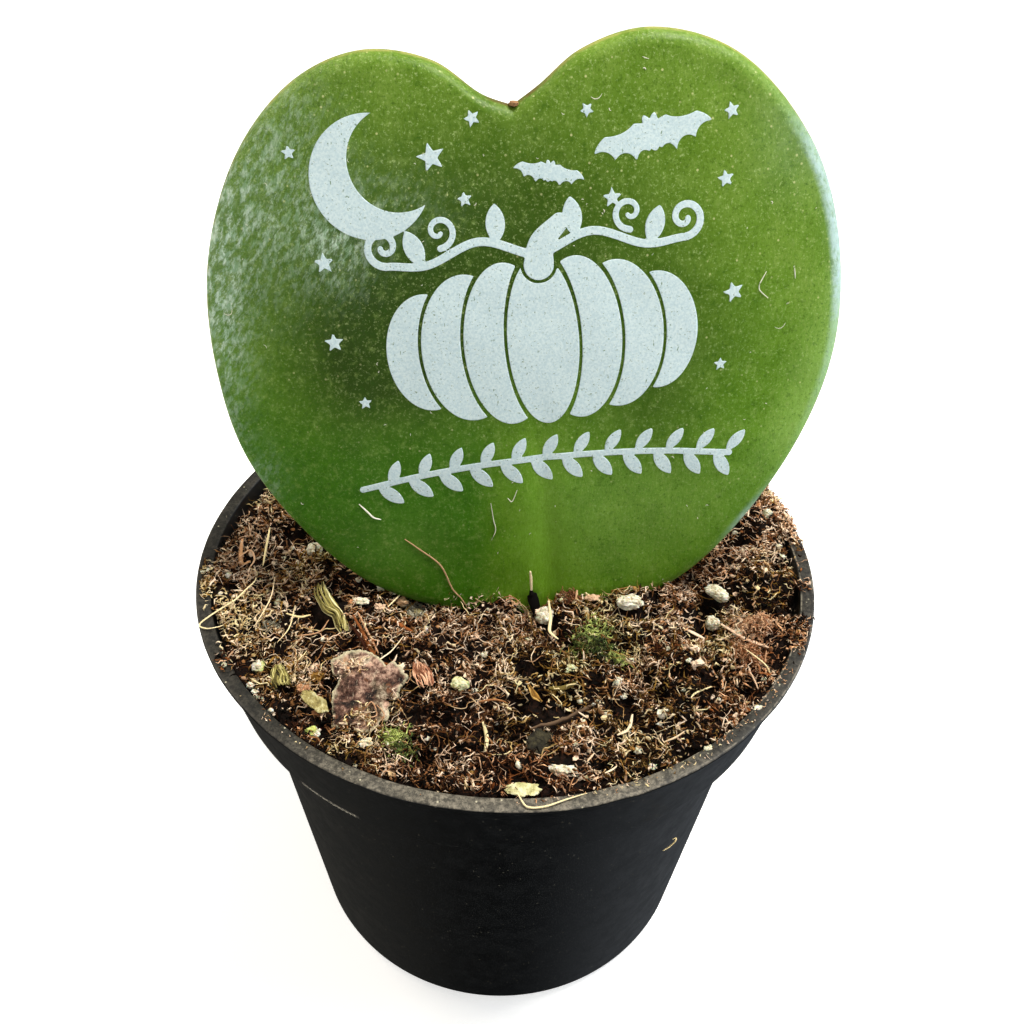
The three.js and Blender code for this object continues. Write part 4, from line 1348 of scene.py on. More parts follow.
def make_crumbs(name, count, seed, material, slot="soil", size=(0.3, 1.1), lift=(-0.15, 0.5), flat=0.35,
                level=0, tint=None):
    """Small angular lumps, or flakes where flat is low."""
    rng = np.random.default_rng(seed)
    shape, faces = ball(level)
    at = scatter(rng, count)
    count = len(at)
    sizes = rng.uniform(*size, count) * rng.choice([0.6, 0.8, 1.0], count)
    stretch = rng.uniform([[0.8, 0.45, flat * 0.7]], [[1.3, 0.9, flat * 1.3]], (count, 3))[:, None]
    bumpy = 1 + 0.35 * (rng.random((count, len(shape), 1)) - 0.5)
    points = shape[None] * bumpy * stretch * sizes[:, None, None] / 2
    tilt = rng.normal(0, 0.6, (2, count))
    points = np.einsum("nij,nkj->nki", frames(rng.uniform(0, 2 * math.pi, count), *tilt), points)
    rise = rng.uniform(*lift, count)
    points = settle(points, at, rise)
    start = (np.arange(count) * len(shape))[:, None, None]
    tints, hues = shades(rng, at, rise)
    if tint is not None:
        tints = np.clip(rng.normal(tint, 0.15, count), 0, 1)
    values = {"tint": np.repeat(tints, len(shape)), "hue": np.repeat(hues, len(shape))}
    faces = [(start + faces).reshape(-1, 3)]
    build_mesh(name, points.reshape(-1, 3), faces, material, slot, values, smooth=level > 0)


def over_soil(line, lift=0.5):
    """A line over the soil, from points in plan."""
    line = np.asarray(line, float)
    return np.column_stack([line, np.maximum(ground_height(*line.T), soil_height(*line.T) - 0.6) + lift])


LONG_FIBRES = 230


def make_long_fibres(material):
    """Thin curly fibres that wander over the soil."""
    rng = np.random.default_rng(77)
    fibres, hues = [], []
    for at in scatter(rng, LONG_FIBRES, 28):
        heading = rng.uniform(0, 2 * math.pi)
        line = [at]
        for _ in range(rng.integers(4, 14)):
            heading += rng.normal(0, 0.5)
            line.append(line[-1] + 0.5 * np.array([math.cos(heading), math.sin(heading)]))
        if np.hypot(*np.array(line).T).max() > 29.6:
            continue
        line = over_soil(line, 0.45)
        line[:, 2] += 0.3 * np.sin(np.linspace(0, math.pi, len(line))) + rng.normal(0, 0.08, len(line))
        fibres.append(tube(smooth_line(line, 3), rng.uniform(0.03, 0.06), 5))
        hues.append(np.full(len(fibres[-1][0]), rng.uniform(0.3, 0.8)))
    points, faces = merged(fibres)
    tint = 0.66 + 0.7 * (noise3(points / 2, 9) - 0.5)
    build_mesh("long_fibres", points, faces, material, "soil", {"tint": tint, "hue": np.concatenate(hues)})


STRANDS = (  # single strands seen on the soil: plan points, half-width, flatness, lift, tint and hue
    (((-26.8, 5.4), (-26.5, 3.0), (-26.1, 0.2), (-25.8, -2.6)), 0.13, 0.7, 0.8, 0.9, 0.7),
    (((-29.0, 2.0), (-28.6, -0.6), (-28.2, -2.0), (-27.3, -1.8)), 0.24, 0.35, 0.8, 0.82, 0.05),
    (((-28.6, -1.4), (-27.6, -0.4), (-26.9, -1.6), (-27.2, -3.2)), 0.11, 0.6, 0.9, 0.85, 0.2),
    (((-22.1, -9.6), (-20.8, -9.4), (-19.8, -9.0)), 0.15, 0.5, 0.8, 0.8, 0.75),
    (((-20.9, -11.5), (-18.7, -11.1), (-17.8, -9.9)), 0.09, 0.8, 0.7, 0.7, 0.4),
    (((-15.2, -10.4), (-13.9, -12.6), (-12.7, -14.6), (-11.9, -15.3), (-10.9, -15.7)),
     0.2, 0.4, 0.85, 0.58, 0.1),
    (((-15.6, -10.9), (-14.4, -12.7), (-13.2, -14.4), (-12.4, -15.2)), 0.2, 0.4, 0.8, 0.42, 0.1),
    (((-14.7, -10.3), (-13.5, -12.3), (-12.3, -14.3)), 0.13, 0.6, 0.8, 0.7, 0.3),
    (((-12.7, -18.1), (-12.0, -16.6), (-11.0, -14.4), (-9.9, -13.0)), 0.075, 0.8, 1.5, 0.9, 0.5),
    (((-15.4, -16.4), (-14.2, -16.9), (-13.0, -17.1)), 0.14, 0.6, 1.2, 0.9, 0.45),
    (((-14.6, -15.5), (-13.4, -15.8), (-12.3, -16.5)), 0.16, 0.6, 1.2, 0.72, 0.7),
    (((-12.8, -21.6), (-12.1, -21.0), (-11.6, -21.9), (-12.2, -22.5)), 0.07, 0.7, 1.3, 0.72, 0.25),
    (((-11.6, -21.4), (-10.9, -22.0), (-11.2, -22.7)), 0.06, 0.7, 1.3, 0.72, 0.25),
    (((7.0, -21.0), (7.7, -21.9)), 0.09, 0.8, 0.8, 0.95, 0.4),
    (((9.0, -28.5), (9.7, -27.8), (10.2, -27.1)), 0.1, 0.7, 0.8, 0.85, 0.5),
    (((7.5, -27.1), (8.2, -26.1)), 0.1, 0.7, 0.8, 0.8, 0.5),
    (((4.3, -17.9), (5.6, -17.95), (6.9, -17.8)), 0.3, 0.5, 0.6, 0.6, 1.0),
    (((-10.8, -5.9), (-11.9, -8.9)), 0.08, 0.9, 0.9, 0.9, 0.6),
    (((-11.9, -15.7), (-12.6, -18.4)), 0.11, 0.8, 1.3, 0.95, 0.55),
    (((-11.1, -9.9), (-10.1, -11.0), (-9.2, -11.9)), 0.22, 0.35, 0.7, 0.65, 0.1),
    (((-14.2, -16.0), (-13.3, -16.6), (-12.3, -16.5)), 0.16, 0.5, 1.2, 0.8, 0.5),
    (((20.1, -16.6), (18.5, -17.6), (17.7, -18.8)), 0.1, 0.8, 0.7, 0.9, 0.65),
    (((23.8, -15.0), (24.0, -16.4), (24.2, -17.8)), 0.1, 0.8, 0.9, 0.75, 0.35),
    (((22.0, -8.6), (24.2, -10.8), (26.2, -12.2)), 0.22, 0.4, 0.9, 0.8, 0.3),
    (((18.2, -10.1), (20.1, -10.6)), 0.22, 0.4, 0.7, 0.85, 0.3),
    (((12.9, -6.3), (14.5, -6.6), (16.4, -6.3)), 0.1, 0.8, 0.9, 0.0, 0.0),
    (((7.4, -4.4), (7.3, -5.8), (7.1, -7.4)), 0.12, 0.7, 1.2, 0.7, 0.4),
    (((4.4, -6.9), (4.6, -8.6), (4.5, -10.4), (5.3, -11.8)), 0.17, 0.5, 1.2, 0.9, 0.6),
    (((-1.8, -22.4), (-1.4, -23.6), (-1.5, -25.5)), 0.2, 0.5, 0.6, 1.0, 0.8),
    (((10.5, -23.3), (11.6, -22.5), (12.1, -20.7)), 0.16, 0.5, 0.7, 0.85, 0.5),
    (((14.6, -24.1), (15.6, -23.9), (16.5, -23.4)), 0.1, 0.8, 0.6, 0.8, 0.5),
    (((-2.3, -20.1), (-0.9, -19.6), (0.3, -19.8)), 0.12, 0.7, 0.6, 0.6, 0.3),
    (((-22.6, -12.6), (-21.6, -11.0), (-21.4, -8.4)), 0.07, 0.9, 0.9, 0.85, 0.6),
    (((-25.2, -11.0), (-24.1, -7.6), (-24.3, -4.0)), 0.07, 0.9, 0.9, 0.85, 0.55),
)
CURL_AT, CURL_RADIUS = (1.4, -17.6), 0.26
# The black sliver's body is sized to a dark spot that is partly a dark bark chip and partly shade: partly
# painted shade.
SLIVER = ((3.3, -7.5, 50.6), (3.0, -7.0, 51.5), (2.7, -6.5, 52.3), (2.55, -6.25, 52.9))
SLIVER_TIP = ((2.6, -6.25, 52.7), (2.5, -5.9, 54.2), (2.4, -5.72, 55.1))

RIM_FIBRES = (  # single long fibres that cross the lip
    ((-27.0, -3.4, 52.3), (-26.1, -4.1, 52.4), (-26.0, -5.5, 52.5), (-26.7, -7.1, 52.6), (-27.4, -8.6, 52.7),
     (-29.0, -10.5, 52.75), (-30.1, -12.1, 52.72), (-29.3, -12.6, 52.7), (-28.4, -12.3, 52.6),
     (-27.7, -11.6, 52.3)),
    ((1.2, -29.9, 52.2), (1.6, -31.0, 52.66), (2.3, -32.0, 52.66), (3.8, -31.9, 52.66), (5.5, -31.2, 52.66),
     (7.4, -30.3, 52.4)),
    ((-28.6, -14.6, 51.9), (-27.4, -15.0, 52.0), (-26.2, -15.9, 51.6)),
    ((23.6, -12.7, 52.1), (25.3, -14.6, 52.0), (25.9, -15.4, 51.4)),
)


BODY_LINT = (  # one fibre that hangs on the pot's body
    (15.7, -27.35, 39.2), (16.3, -27.0, 39.3), (16.8, -26.75, 39.8), (16.9, -26.75, 40.5),
    (16.5, -27.0, 40.7),
)


def make_strands(material):
    bits = Bits()
    for line, radius, flat, lift, tint, hue in STRANDS:
        bits.add(tube(smooth_line(over_soil(line, lift), 8), radius, 8, 0.3, flat), tint, hue)
    turn = np.linspace(0, 1.7 * math.pi, 16)
    ring = np.array(CURL_AT) + CURL_RADIUS * np.column_stack([np.cos(turn + 2), np.sin(turn + 2)])
    curl = over_soil(np.concatenate([ring, [CURL_AT + np.array([-0.3, -1.3])]]), 0.9)
    bits.add(tube(curl, 0.07, 6), 0.95, 0.85)
    # the black sliver: a dark chip, partly painted shade
    bits.add(tube(smooth_line(SLIVER, 8), 0.62, 10, 0.3, 0.5), 0.0, 0.1)
    bits.add(tube(smooth_line(SLIVER_TIP, 8), 0.14, 8, 0.5), 0.85, 0.55)
    for line in RIM_FIBRES:
        bits.add(tube(smooth_line(line, 8), 0.085, 6), 0.9, 0.62)
    bits.add(tube(smooth_line(BODY_LINT, 8), 0.075, 6), 0.8, 0.7)
    bits.build("strands", material, "soil")


THINGS = things_on_soil()

SPOTS = (  # small white grains seen on the soil: place in plan, and size
    (-22.5, -0.2, 0.85), (-24.6, 5.5, 0.45), (-24.7, 1.8, 0.4), (-23.5, -1.5, 0.6), (-24.1, 7.6, 0.5),
    (-26.6, -5.7, 0.5), (-29.0, -7.8, 0.4), (-29.0, -4.6, 0.6), (-1.9, -14.0, 0.6), (-2.7, -17.9, 0.55),
    (-6.8, -24.3, 0.5), (-12.5, -24.4, 1.1), (28.9, 6.6, 0.7), (29.7, 2.4, 0.6), (30.0, 1.2, 0.7),
    (23.6, -9.7, 0.95), (12.6, -13.4, 0.5), (5.1, -13.4, 0.55), (10.8, -17.6, 0.85), (11.4, -18.4, 0.6),
    (14.9, -20.9, 0.9), (14.5, -21.7, 0.5), (12.3, -24.6, 0.6), (13.4, -27.1, 0.6), (17.9, -14.6, 0.5),
    (25.1, 4.1, 0.5),
    (-15.4, -4.2, 0.6), (7.4, -28.4, 0.4), (6.5, -25.8, 0.5), (-23.4, -19.3, 0.5), (-23.9, -18.8, 0.6),
    (-23.0, -20.2, 0.4), (16.3, -12.4, 0.5), (-0.6, -21.4, 0.35), (20.6, -18.2, 0.4),
)
CHIPS = (  # white and cream bits seen on the soil and lip: place, lift, size, turn, tint and hue
    (-14.7, -8.3, 0.8, (1.5, 0.85, 0.5), 10, 0.03, 0), (-12.95, -5.8, 0.9, (0.8, 0.6, 0.6), 0, 0.05, 0),
    (-11.7, -5.6, 0.9, (1.1, 0.8, 0.7), 20, 0.05, 0), (10.9, -17.5, 0.6, (0.9, 0.5, 0.5), 40, 0.02, 0),
    (6.4, -16.0, 0.6, (1.0, 0.8, 0.6), 0, 0.35, 0), (18.5, -25.2, 1.15, (0.9, 0.5, 0.3), 35, 0.0, 0),
    (-31.4, -4.2, 1.3, (1.0, 0.8, 0.3), 60, 0.0, 0), (23.6, -20.5, 1.2, (0.7, 0.6, 0.3), 0, 0.0, 0),
    (-26.6, -17.0, 1.2, (0.5, 0.5, 0.3), 0, 0.1, 0),
)
CLUMPS = (  # coloured bits seen on the soil, in the same way
    (-15.5, -8.3, 0.85, (0.7, 0.6, 0.4), 0, 0.75, 0.1), (-10.2, -16.2, 1.0, (1.5, 1.1, 0.5), 60, 0.95, 0.35),
    (-10.6, -16.6, 1.1, (0.8, 0.7, 0.5), 0, 0.72, 0.1), (-9.3, -7.2, 0.8, (1.5, 1.1, 1.0), 20, 0.72, 0.95),
    (-10.7, -6.6, 1.0, (1.2, 0.9, 0.8), 0, 0.72, 0.5), (-18.0, -16.3, 0.5, (1.3, 0.9, 0.7), 30, 0.6, 0.6),
    (-19.2, -17.8, 0.6, (1.2, 0.9, 0.6), 0, 0.72, 0.2), (-18.9, -14.0, 0.6, (0.9, 1.3, 0.4), 10, 0.85, 0.3),
    (8.9, -6.3, 0.8, (1.4, 0.8, 0.3), -15, 0.74, 0.33), (3.4, -7.4, 1.0, (0.8, 0.7, 0.7), 0, 0.85, 0.4),
    (-12.7, -8.9, 0.8, (0.9, 0.7, 0.5), 0, 0.78, 0.3), (14.4, -8.7, 0.6, (1.0, 0.8, 0.4), 0, 0.5, 0.95),
    (18.8, -12.8, 0.6, (0.8, 0.7, 0.6), 0, 0.95, 0.35), (18.8, -14.8, 0.6, (1.1, 0.6, 0.5), 10, 0.85, 0.3),
    (-23.6, -10.3, 0.4, (1.3, 1.1, 0.8), 30, 0.5, 0.95), (-17.2, -21.4, 0.5, (1.0, 0.7, 0.4), -30, 0.7, 0.2),
)


def make_lumps(name, rows, material, slot, seed):
    """Single rough lumps and flakes at their seen places."""
    shape, faces = ball(4)
    bits = Bits()
    for i, (x, y, lift, size, degrees, tint, hue) in enumerate(rows):
        rough = 1 + rough3(shape * 1.3 + 9.0 * (i + seed), 0.75, 5, seed)
        tilt = turned("X", 12 * math.sin(7.0 * i)) @ turned("Y", 12 * math.cos(5.0 * i))
        points = (shape * rough[:, None] * size / 2) @ (tilt @ turned("Z", degrees)).T
        on_the_lip = math.hypot(x, y) > MOUTH_RADIUS - 0.6
        level = POT_HEIGHT - 1.25 if on_the_lip else ground_height(np.array([x]), np.array([y]))[0]
        bits.add((points + [x, y, level + lift], [faces]), tint, hue)
    bits.build(name, material, slot)


# ---- Grains and scraps ---------------------------------------------------------------------------

GRAINS = {  # a grain's own shift, share of the solid's size, turn in degrees, green algae, and on which side
    1: ((0.0, 0.0, 0.7), (1.0, 0.95, 0.85), 0, 0.03, None),
    2: ((0.1, -0.1, 0.0), (1.12, 0.6, 0.9), -32, 0.03, None),
    3: ((0.1, 0.2, 0.1), (1.0, 0.95, 0.95), 20, 0.03, None),
    5: ((0.5, 0.1, -0.35), (1.0, 0.9, 0.75), -12, 0.02, None),
    6: ((0.0, 0.0, 0.0), (1.0, 1.0, 0.9), 0, 0.42, None),
    8: ((0.0, 0.0, 0.1), (1.0, 1.0, 1.0), 0, 0.75, (0.6, -0.8, -0.5, 0.3)),
    9: ((0.1, 0.0, 0.75), (1.05, 1.0, 1.15), 0, 0.85, (-0.6, 0.8, 0.1, 0.6)),
    10: ((0.2, 0.3, 0.2), (0.7, 0.7, 0.7), 0, 0.03, None),
}
PLAIN_GRAIN = ((0, 0, 0), (1, 1, 1), 0, 0.03, None)


def make_grains(material):
    """A finer lumpy grain in the place of each grain solid."""
    for name in sorted(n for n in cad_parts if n.startswith("perlite")):
        low, high = (np.array(corner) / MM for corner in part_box(name))
        seed = int(name.split("_")[1])
        shift, share, degrees, algae, where = GRAINS.get(seed, PLAIN_GRAIN)
        unit, faces = ball(5)
        lumps = 0.6 * rough3(unit + seed * 7, 0.8, 3, 60 + seed)
        pores = 0.4 * np.minimum(0, rough3(unit * 3 + seed, 0.8, 3, 80 + seed))
        points = unit * (1.0 + lumps + pores)[:, None]
        points = points / np.abs(points).max(0) * share * (high - low) / 2
        points = points @ turned("Z", degrees).T + (low + high) / 2 + shift
        tint = np.full(len(points), algae)
        if where:
            across, up, first, last = where
            tint *= smoothstep(across * unit[:, 0] + up * unit[:, 2], first, last)
        grain = build_mesh(f"grain_{seed}", points, [faces], material, "perlite", {"tint": tint})
        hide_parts(name)


SCRAPS = (  # node, place, lift, turn in degrees, length, width, thickness, bend and seed
    ("bark_flake", (-13.0, -19.3), 0.55, (14, -6, 0), 7.2, 8.6, 0.7, 0.5, 21),
    ("leaf_scrap", (3.5, -24.2), 0.15, (10, 6, 10), 3.4, 3.0, 0.4, 0.3, 13),
    ("chip_yellow", (-17.5, -20.7), 0.45, (12, 8, -35), 3.3, 1.6, 0.4, 0.3, 17),
    ("chip_pale", (1.9, -30.1), 0.95, (4, 0, 0), 3.8, 1.6, 0.3, 0.1, 29),
)
FLAKE_RINGS, FLAKE_STEPS, FLAKE_CORNERS = 20, 160, 11
BARK_LOOP = (  # the bark flake's broken outline, from its middle
    (3.2, 2.4), (2.6, 3.0), (1.7, 2.6), (1.1, 3.7), (0.2, 4.3), (-1.2, 4.4), (-2.6, 4.2), (-3.5, 3.3),
    (-3.4, 2.2), (-2.6, 1.6), (-3.0, 0.4), (-3.1, -1.0), (-2.6, -2.0), (-2.6, -3.4), (-1.4, -3.7),
    (-0.2, -4.1), (1.2, -3.8), (1.9, -2.9), (2.6, -3.2), (2.5, -1.7), (3.0, -0.6), (3.6, 0.6), (3.9, 1.6),
)


def ragged_edge(angle, seed):
    """A plate's outline as a share of its half length and width, with a few corners."""
    corner = np.arange(FLAKE_CORNERS)
    ragged = 0.8 + 0.2 * hashed(seed + STRIDE * corner)
    return np.interp(angle, corner * 2 * math.pi / FLAKE_CORNERS, ragged, period=2 * math.pi)


def flake_points(length, width, thick, bend, seed, outline=None):
    """A thin ragged plate: its points in rings, its faces, and how far out each point lies."""
    angle = np.arange(FLAKE_STEPS) * 2 * math.pi / FLAKE_STEPS
    circle = np.column_stack([np.cos(angle), np.sin(angle), np.zeros_like(angle)])
    if outline is None:
        edge = ragged_edge(angle, seed) * (1 + 0.3 * rough3(circle * 3 + seed, 1.0, 3, seed))
        loop = np.column_stack([np.cos(angle) * edge * length / 2, np.sin(angle) * edge * width / 2])
    else:
        corners = np.array(outline)
        at = np.degrees(np.arctan2(corners[:, 1], corners[:, 0])) % 360
        order = np.argsort(at)
        reach = np.interp(np.degrees(angle), at[order], np.hypot(*corners.T)[order], period=360)
        reach = reach * (1 + 0.12 * rough3(circle * 5 + seed, 1.0, 4, seed))
        loop = circle[:, :2] * reach[:, None]
    rings, shares = [], []
    for side in (1, 0):
        for t in np.linspace(1, 0, FLAKE_RINGS + 1)[:-1]:
            flat = loop * t
            place = np.column_stack([flat * 1.3 + seed, np.full(len(flat), side * 5.0)])
            lump = rough3(place, 1.2, 5, seed + side)
            thin = thick * (0.3 + 0.7 * (1 - t**4))
            z = thick / 2 + (side - 0.5) * thin + 0.95 * thick * lump
            bent = bend * (flat[:, 1] / (width / 2)) ** 2 - 0.4 * bend * (flat[:, 0] / (length / 2)) ** 2
            rings.append(np.column_stack([flat, z + bent]))
            shares.append(np.full(len(flat), t))
        rings.append([[0, 0, side * thick]])
        shares.append(np.zeros(1))
    count = FLAKE_RINGS * FLAKE_STEPS + 1
    j = np.arange(FLAKE_STEPS)
    k = (j + 1) % FLAKE_STEPS
    rim = np.stack([j + count, k + count, k, j], -1)
    top = cap_faces(FLAKE_RINGS, FLAKE_STEPS, 0)
    bottom = cap_faces(FLAKE_RINGS, FLAKE_STEPS, count, flip=True)
    return np.concatenate(rings), [*top, *bottom, rim], np.concatenate(shares)


BUNDLES = (  # node, line in plan, half-widths along it, strands, their radius, lift, arch and seed
    ("husk", ((-19.3, -5.3), (-18.8, -7.1), (-17.9, -8.6), (-16.9, -9.6), (-16.3, -11.0), (-15.9, -12.2)),
     (0.5, 0.85, 0.85, 0.5, 0.65, 0.4), 17, 0.1, 0.75, 0.5, 5),
    ("bark_strip", ((-8.5, -14.8), (-8.0, -16.4), (-7.5, -17.5), (-7.05, -18.9)),
     (0.4, 0.75, 0.85, 0.75, 0.5), 22, 0.085, 0.7, 0.35, 8),
    ("chip_green", ((-22.2, -14.9), (-21.9, -15.8), (-21.6, -16.8), (-21.2, -17.8)),
     (0.5, 0.9, 0.85, 0.5), 20, 0.1, 0.6, 0.5, 23),
    ("chip_tan", ((2.37, -17.4), (2.73, -18.6), (3.12, -19.3), (3.66, -19.9)),
     (0.1, 0.22, 0.25, 0.1), 4, 0.12, 0.8, 0.1, 19),
)


def bundle(line, widths, strands, radius, arch, seed):
    """Strands that lie side by side along a line, like split bark, with a tint for each."""
    rng = np.random.default_rng(seed)
    spine = smooth_line(line, 8)
    t = np.linspace(0, 1, len(spine))
    along = np.gradient(spine, axis=0)
    side = np.column_stack([-along[:, 1], along[:, 0], np.zeros(len(t))])
    side /= np.linalg.norm(side, axis=1)[:, None]
    half = np.interp(t, np.linspace(0, 1, len(widths)), widths)
    parts, tints = [], []
    for k in range(strands):
        sway = 0.14 * np.sin(t * rng.uniform(4, 11) + rng.uniform(0, 6))
        across = (k + rng.uniform(0.2, 0.8)) / strands * 2 - 1 + sway
        first, last = rng.uniform(0, 0.14), 1 - rng.uniform(0, 0.14)
        kept = (t >= first) & (t <= last)
        strand = spine + side * (across * half)[:, None]
        strand[:, 2] += arch * (1 - across**2) + 0.09 * np.sin(t * rng.uniform(6, 14) + rng.uniform(0, 6))
        points, faces = tube(strand[kept], radius * rng.uniform(0.7, 1.25), 7, 0.3, 0.8)
        parts.append((points, faces))
        tints.append(np.full(len(points), np.clip(rng.normal(0.55, 0.3), 0, 1)))
    return merged(parts), np.concatenate(tints)


def make_scraps(materials):
    for name, at, lift, turn, length, width, thick, bend, seed in SCRAPS:
        outline = BARK_LOOP if name == "bark_flake" else None
        points, faces, shares = flake_points(length, width, thick, bend, seed, outline)
        turn = turned("X", turn[0]) @ turned("Y", turn[1]) @ turned("Z", turn[2])
        height = soil_height(*np.array(at)[:, None])[0] + lift
        if name == "chip_pale":
            height = POT_HEIGHT - 0.25  # it lies half on the pot's lip
        points = points @ turn.T + [*at, height]
        slot = "bark" if name.startswith("bark") else "litter"
        tint = 0.5 + 0.8 * (noise3(points / 0.8, seed) - 0.5)
        values = {"tint": tint, "ring": shares}
        piece = build_mesh(name + "_fine", points, faces, materials[name], slot, values)
        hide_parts(name)
    for name, line, widths, strands, radius, lift, arch, seed in BUNDLES:
        (points, faces), tint = bundle(over_soil(line, lift), widths, strands, radius, arch, seed)
        slot = "bark" if name.startswith("bark") else "litter"
        piece = build_mesh(name + "_fine", points, faces, materials[name], slot, {"tint": tint})
        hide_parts(name)


TWIG = ((2.66, -22.64), (3.95, -22.2), (4.64, -22.0), (6.66, -20.96), (8.32, -19.9))


def make_twig(material):
    line = smooth_line(over_soil(TWIG, 0.75), 12)
    line[:, 2] = np.linspace(line[:, 2].mean() - 0.1, line[:, 2].mean() + 0.1, len(line))
    line[:, 2] += 0.06 * np.sin(np.linspace(0, 9, len(line)))
    points, faces = tube(line, 0.17, 12, 0.6)
    points += 0.1 * rough3(points, 0.5, 4, 3)[:, None] * [0, 1, 1]
    twig = build_mesh("twig_fine", points, faces, material, "bark", {"tint": np.full(len(points), 0.4)})
    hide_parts("twig")


# ---- Light and floor -----------------------------------------------------------------------------


def softbox(name, at, toward, size, watts, tone):
    light = bpy.data.lights.new(name, "AREA")
    light.shape = "RECTANGLE"
    light.size, light.size_y = size
    light.energy = watts
    light.color = colour(tone)[:3]
    lamp = bpy.data.objects.new(name, light)
    lamp.location = Vector(at)
    lamp.rotation_euler = (Vector(toward) - Vector(at)).to_track_quat("-Z", "Y").to_euler()
    bpy.context.scene.collection.objects.link(lamp)


def make_room():
    """A room that is bright above and dim below, with a plain pale wall behind the object."""
    world = bpy.data.worlds.new("studio")
    world.use_nodes = True
    nodes, links = world.node_tree.nodes, world.node_tree.links
    axes = nodes.new("ShaderNodeSeparateXYZ")
    links.new(nodes.new("ShaderNodeTexCoord").outputs["Generated"], axes.inputs[0])

    def spread(axis, *numbers):
        node = nodes.new("ShaderNodeMapRange")
        links.new(axes.outputs[axis], node.inputs["Value"])
        for key, number in zip(("From Min", "From Max", "To Min", "To Max"), numbers):
            node.inputs[key].default_value = number
        return node.outputs[0]

    strength = spread("Z", -0.15, 0.5, 0.02, 0.35)
    for low, high, most in ((0.15, 0.5, 0.32), (-0.12, -0.5, 0.13)):
        both = nodes.new("ShaderNodeMath")
        both.operation = "MULTIPLY_ADD"
        values = (spread("X", low, high, 0, most), spread("Z", -0.25, -0.5, 0, 1), strength)
        for socket, value in zip(both.inputs, values):
            links.new(value, socket)
        strength = both.outputs[0]
    tone = nodes.new("ShaderNodeMix")
    tone.data_type = "RGBA"
    links.new(spread("X", -0.3, 0.3, 0, 1), tone.inputs[0])
    tone.inputs[6].default_value = colour("fffaec")
    tone.inputs[7].default_value = colour("eef6ff")
    room = nodes["Background"]
    links.new(strength, room.inputs["Strength"])
    links.new(tone.outputs[2], room.inputs["Color"])
    wall = nodes.new("ShaderNodeBackground")
    wall.inputs["Color"].default_value = colour("f4f5f6")
    either = nodes.new("ShaderNodeMixShader")
    links.new(nodes.new("ShaderNodeLightPath").outputs["Is Camera Ray"], either.inputs[0])
    links.new(room.outputs[0], either.inputs[1])
    links.new(wall.outputs[0], either.inputs[2])
    links.new(either.outputs[0], nodes["World Output"].inputs["Surface"])
    bpy.context.scene.world = world


FLOOR_HALF = 900.0
LIGHTS = (  # name, place and aim in metres, size, watts and tone
    ("window_right", (0.45, 0.06, 0.24), (0, 0, 0.06), (0.3, 0.4), 0.7, "eef4ff"),
    ("rim_right", (0.22, 0.03, 0.042), (0.028, 0, 0.085), (0.2, 0.05), 0.14, "d2e6ff"),
    ("window_back", (-0.32, 0.14, 0.3), (-0.02, 0, 0.055), (0.2, 0.2), 0.8, "fff4e2"),
    ("window_left", (-0.26, -0.37, 0.1), (0, 0, 0.08), (0.26, 0.06), 0.24, "f2f8ff"),
    ("fill_front", (0.1, -0.4, 0.45), (0, 0, 0.07), (0.3, 0.2), 0.22, "fffaf2"),
    ("key", (0.16, 0.04, 0.45), (0, 0, 0.05), (0.13, 0.13), 2.3, "fffaf2"),
)


def make_stage():
    points = FLOOR_HALF * np.array([(-1, -1, 0), (1, -1, 0), (1, 1, 0), (-1, 1, 0)])
    s = Shader("floor_white", Roughness=0.9, Emission_Color=(1, 1, 1, 1), Emission_Strength=0.56)
    base = s.mix(s.noise(60, 2), "f4f4f2", "f7f7f5")
    floor = build_mesh("floor", points, [[[0, 1, 2, 3]]], s.finish(Base_Color=base), slot=None)
    floor.visible_glossy = False  # the black pot mirrors the dim room below it, not the pale floor
    make_room()
    for light in LIGHTS:
        softbox(*light)
    scene = bpy.context.scene
    scene.view_settings.view_transform = "Standard"
    scene.view_settings.look = "None"


# ---- The whole scene -----------------------------------------------------------------------------


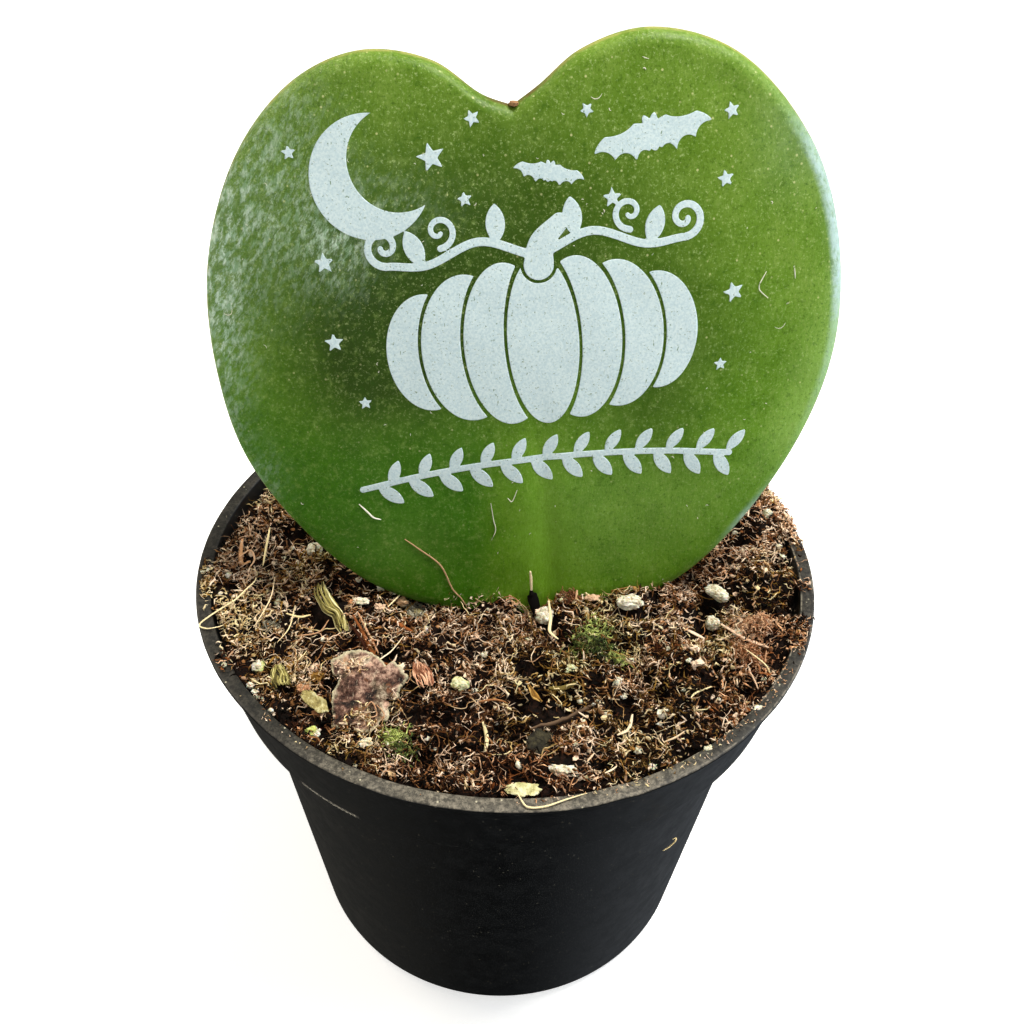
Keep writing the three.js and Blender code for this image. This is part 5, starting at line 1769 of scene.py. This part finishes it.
def main():
    make_camera()
    make_stage()
    make_pot(pot_material())
    make_leaf(leaf_material())
    make_print(print_material())
    fibre = fibre_material()
    tan = litter_material("fibre_tan", "5c3f26", "9a7450", "d0ab80")
    moss = litter_material("moss_green", "12180c", "5a6a32", "d2de7e")
    make_ground(soil_material())
    make_shreds("shreds_low", 9000, 11, fibre, lift=(-0.5, 0.15), steep=0.3)
    make_shreds("shreds_mid", 11000, 17, fibre, length=(0.4, 1.5), width=(0.08, 0.26))
    make_shreds("shreds_top", 9500, 12, fibre)
    make_shreds("slivers", 6500, 13, fibre, length=(0.6, 2.4), width=(0.06, 0.15), curl=1.3, flat=0.8,
                lift=(0, 0.7))
    make_crumbs("flakes", 9500, 21, fibre, size=(0.25, 0.8), flat=0.25)
    make_crumbs("crumbs", 1200, 22, fibre, size=(0.2, 0.5), flat=0.8, lift=(-0.2, 0.35))
    spills = on_lip((190.5, 2.8, 0.1), (339, 2.4, 0.09), (211, 1.6, 0.02), (353, 1.2, 0.02), (17, 6, 0.4))
    make_shreds("spilled", 1700, 14, fibre, length=(0.4, 1.3), lift=(0.0, 0.4), steep=0.15,
                places=spills, level=POT_HEIGHT - 0.08)
    make_shreds("heaped", 900, 16, fibre, length=(0.4, 1.2), lift=(0.3, 1.0), steep=0.25,
                places=on_lip((17, 5.5, 1.0)), level=POT_HEIGHT - 0.08)
    crumbs = on_lip((318, 12, 0.6), (290, 9, 0.3), (232, 14, 0.1))
    make_shreds("lip_bits", 240, 15, fibre, length=(0.15, 0.5), width=(0.06, 0.16), lift=(0.0, 0.06),
                steep=0.05, places=crumbs, tint=0.85, level=POT_HEIGHT - 0.02)
    make_long_fibres(fibre)
    make_strands(fibre)
    coir = litter_material("coir_orange", "47200f", "ae744c", "f2c69c")
    grey = litter_material("fluff_grey", "38352a", "77725f", "bdb7a0")
    tufts = (
        ("moss_1", moss, 9.6, -12.9, 0.7, 240, 0.3), ("moss_2", moss, 8.9, -10.6, 0.8, 150, 0.85),
        ("moss_3", moss, 11.2, -13.6, 0.45, 90, 0.95), ("moss_4", moss, -9.9, -23.7, 0.5, 180, 0.9),
        ("moss_5", moss, -9.0, -25.2, 0.7, 110, 0.55), ("moss_6", moss, 7.4, -12.0, 0.9, 120, 0.5),
        ("coir_3", coir, 6.7, -6.0, 0.55, 160, 0.3),
        ("coir_1", coir, 25.2, -9.1, 1.1, 330, 0.72), ("coir_2", coir, 24.4, -12.7, 0.9, 260, 0.5),
        ("fluff_1", grey, -9.2, -7.1, 0.55, 260, 0.85), ("fluff_2", grey, -23.6, -10.3, 0.5, 90, 0.5),
    )
    for i, (name, material, x, y, size, count, tint) in enumerate(tufts):
        make_shreds(name, count, 31 + i, material, length=(0.4, 1.3), width=(0.08, 0.24), curl=2.2,
                    lift=(0.2, 0.9), steep=0.6, places=patch(x, y, size), tint=tint)
    make_shreds("crumbs_bark", 170, 51, fibre, length=(0.3, 1.0), width=(0.08, 0.22), lift=(2.1, 2.7),
                steep=0.2, places=patch(-14.6, -16.3, 0.75))
    make_shreds("crumbs_scrap", 50, 53, fibre, length=(0.3, 1.1), width=(0.08, 0.2), lift=(0.7, 1.1),
                steep=0.3, places=patch(3.9, -24.4, 0.8), tint=0.4)
    make_shreds("crumbs_edge", 90, 52, fibre, length=(0.3, 1.2), width=(0.08, 0.22), lift=(0.9, 1.4),
                steep=0.3, places=patch(-12.6, -22.3, 0.75))
    mineral = mineral_material()
    make_crumbs("grains_small", 120, 23, mineral, "perlite", (0.25, 0.75), (0.2, 0.6), 0.9, 2, 0.03)
    seen = [(x, y, 0.45, (size, size * 0.85, size * 0.8), 30 * size, 0.03, 0.0) for x, y, size in SPOTS]
    make_lumps("grains_seen", seen, mineral, "perlite", 47)
    make_lumps("chips_seen", CHIPS, mineral, "perlite", 48)
    make_lumps("clumps", CLUMPS, fibre, "soil", 49)
    make_grains(mineral)
    make_scraps(
        {
            "bark_flake": flake_material(),
            "bark_strip": litter_material("bark_red", "38180c", "9c6448", "e8b896", 0.4),
            "husk": litter_material("husk_dry", "3c340f", "a89c58", "f6efbc", 0.4),
            "leaf_scrap": bark_material("scrap_dark", "0c0a05", "1f1b10", "48422c"),
            "chip_yellow": bark_material("chip_olive", "4c3f22", "a09258", "dcd6a4"),
            "chip_green": litter_material("chip_moss", "2c260e", "8a7f44", "dcd48c", 0.4),
            "chip_tan": litter_material("chip_amber", "5c3c12", "a87c34", "dcb870", 0.4),
            "chip_pale": bark_material("chip_cream", "908a50", "d0cb94", "f2efcc"),
        }
    )
    make_twig(litter_material("twig_brown", "3a2a1c", "6a5440", "9a8468"))
    make_leaf_dust(litter_material("lint_pale", "b8b48c", "d6d4b4", "eceada"), tan)
    make_notch_scab(tan)


main()
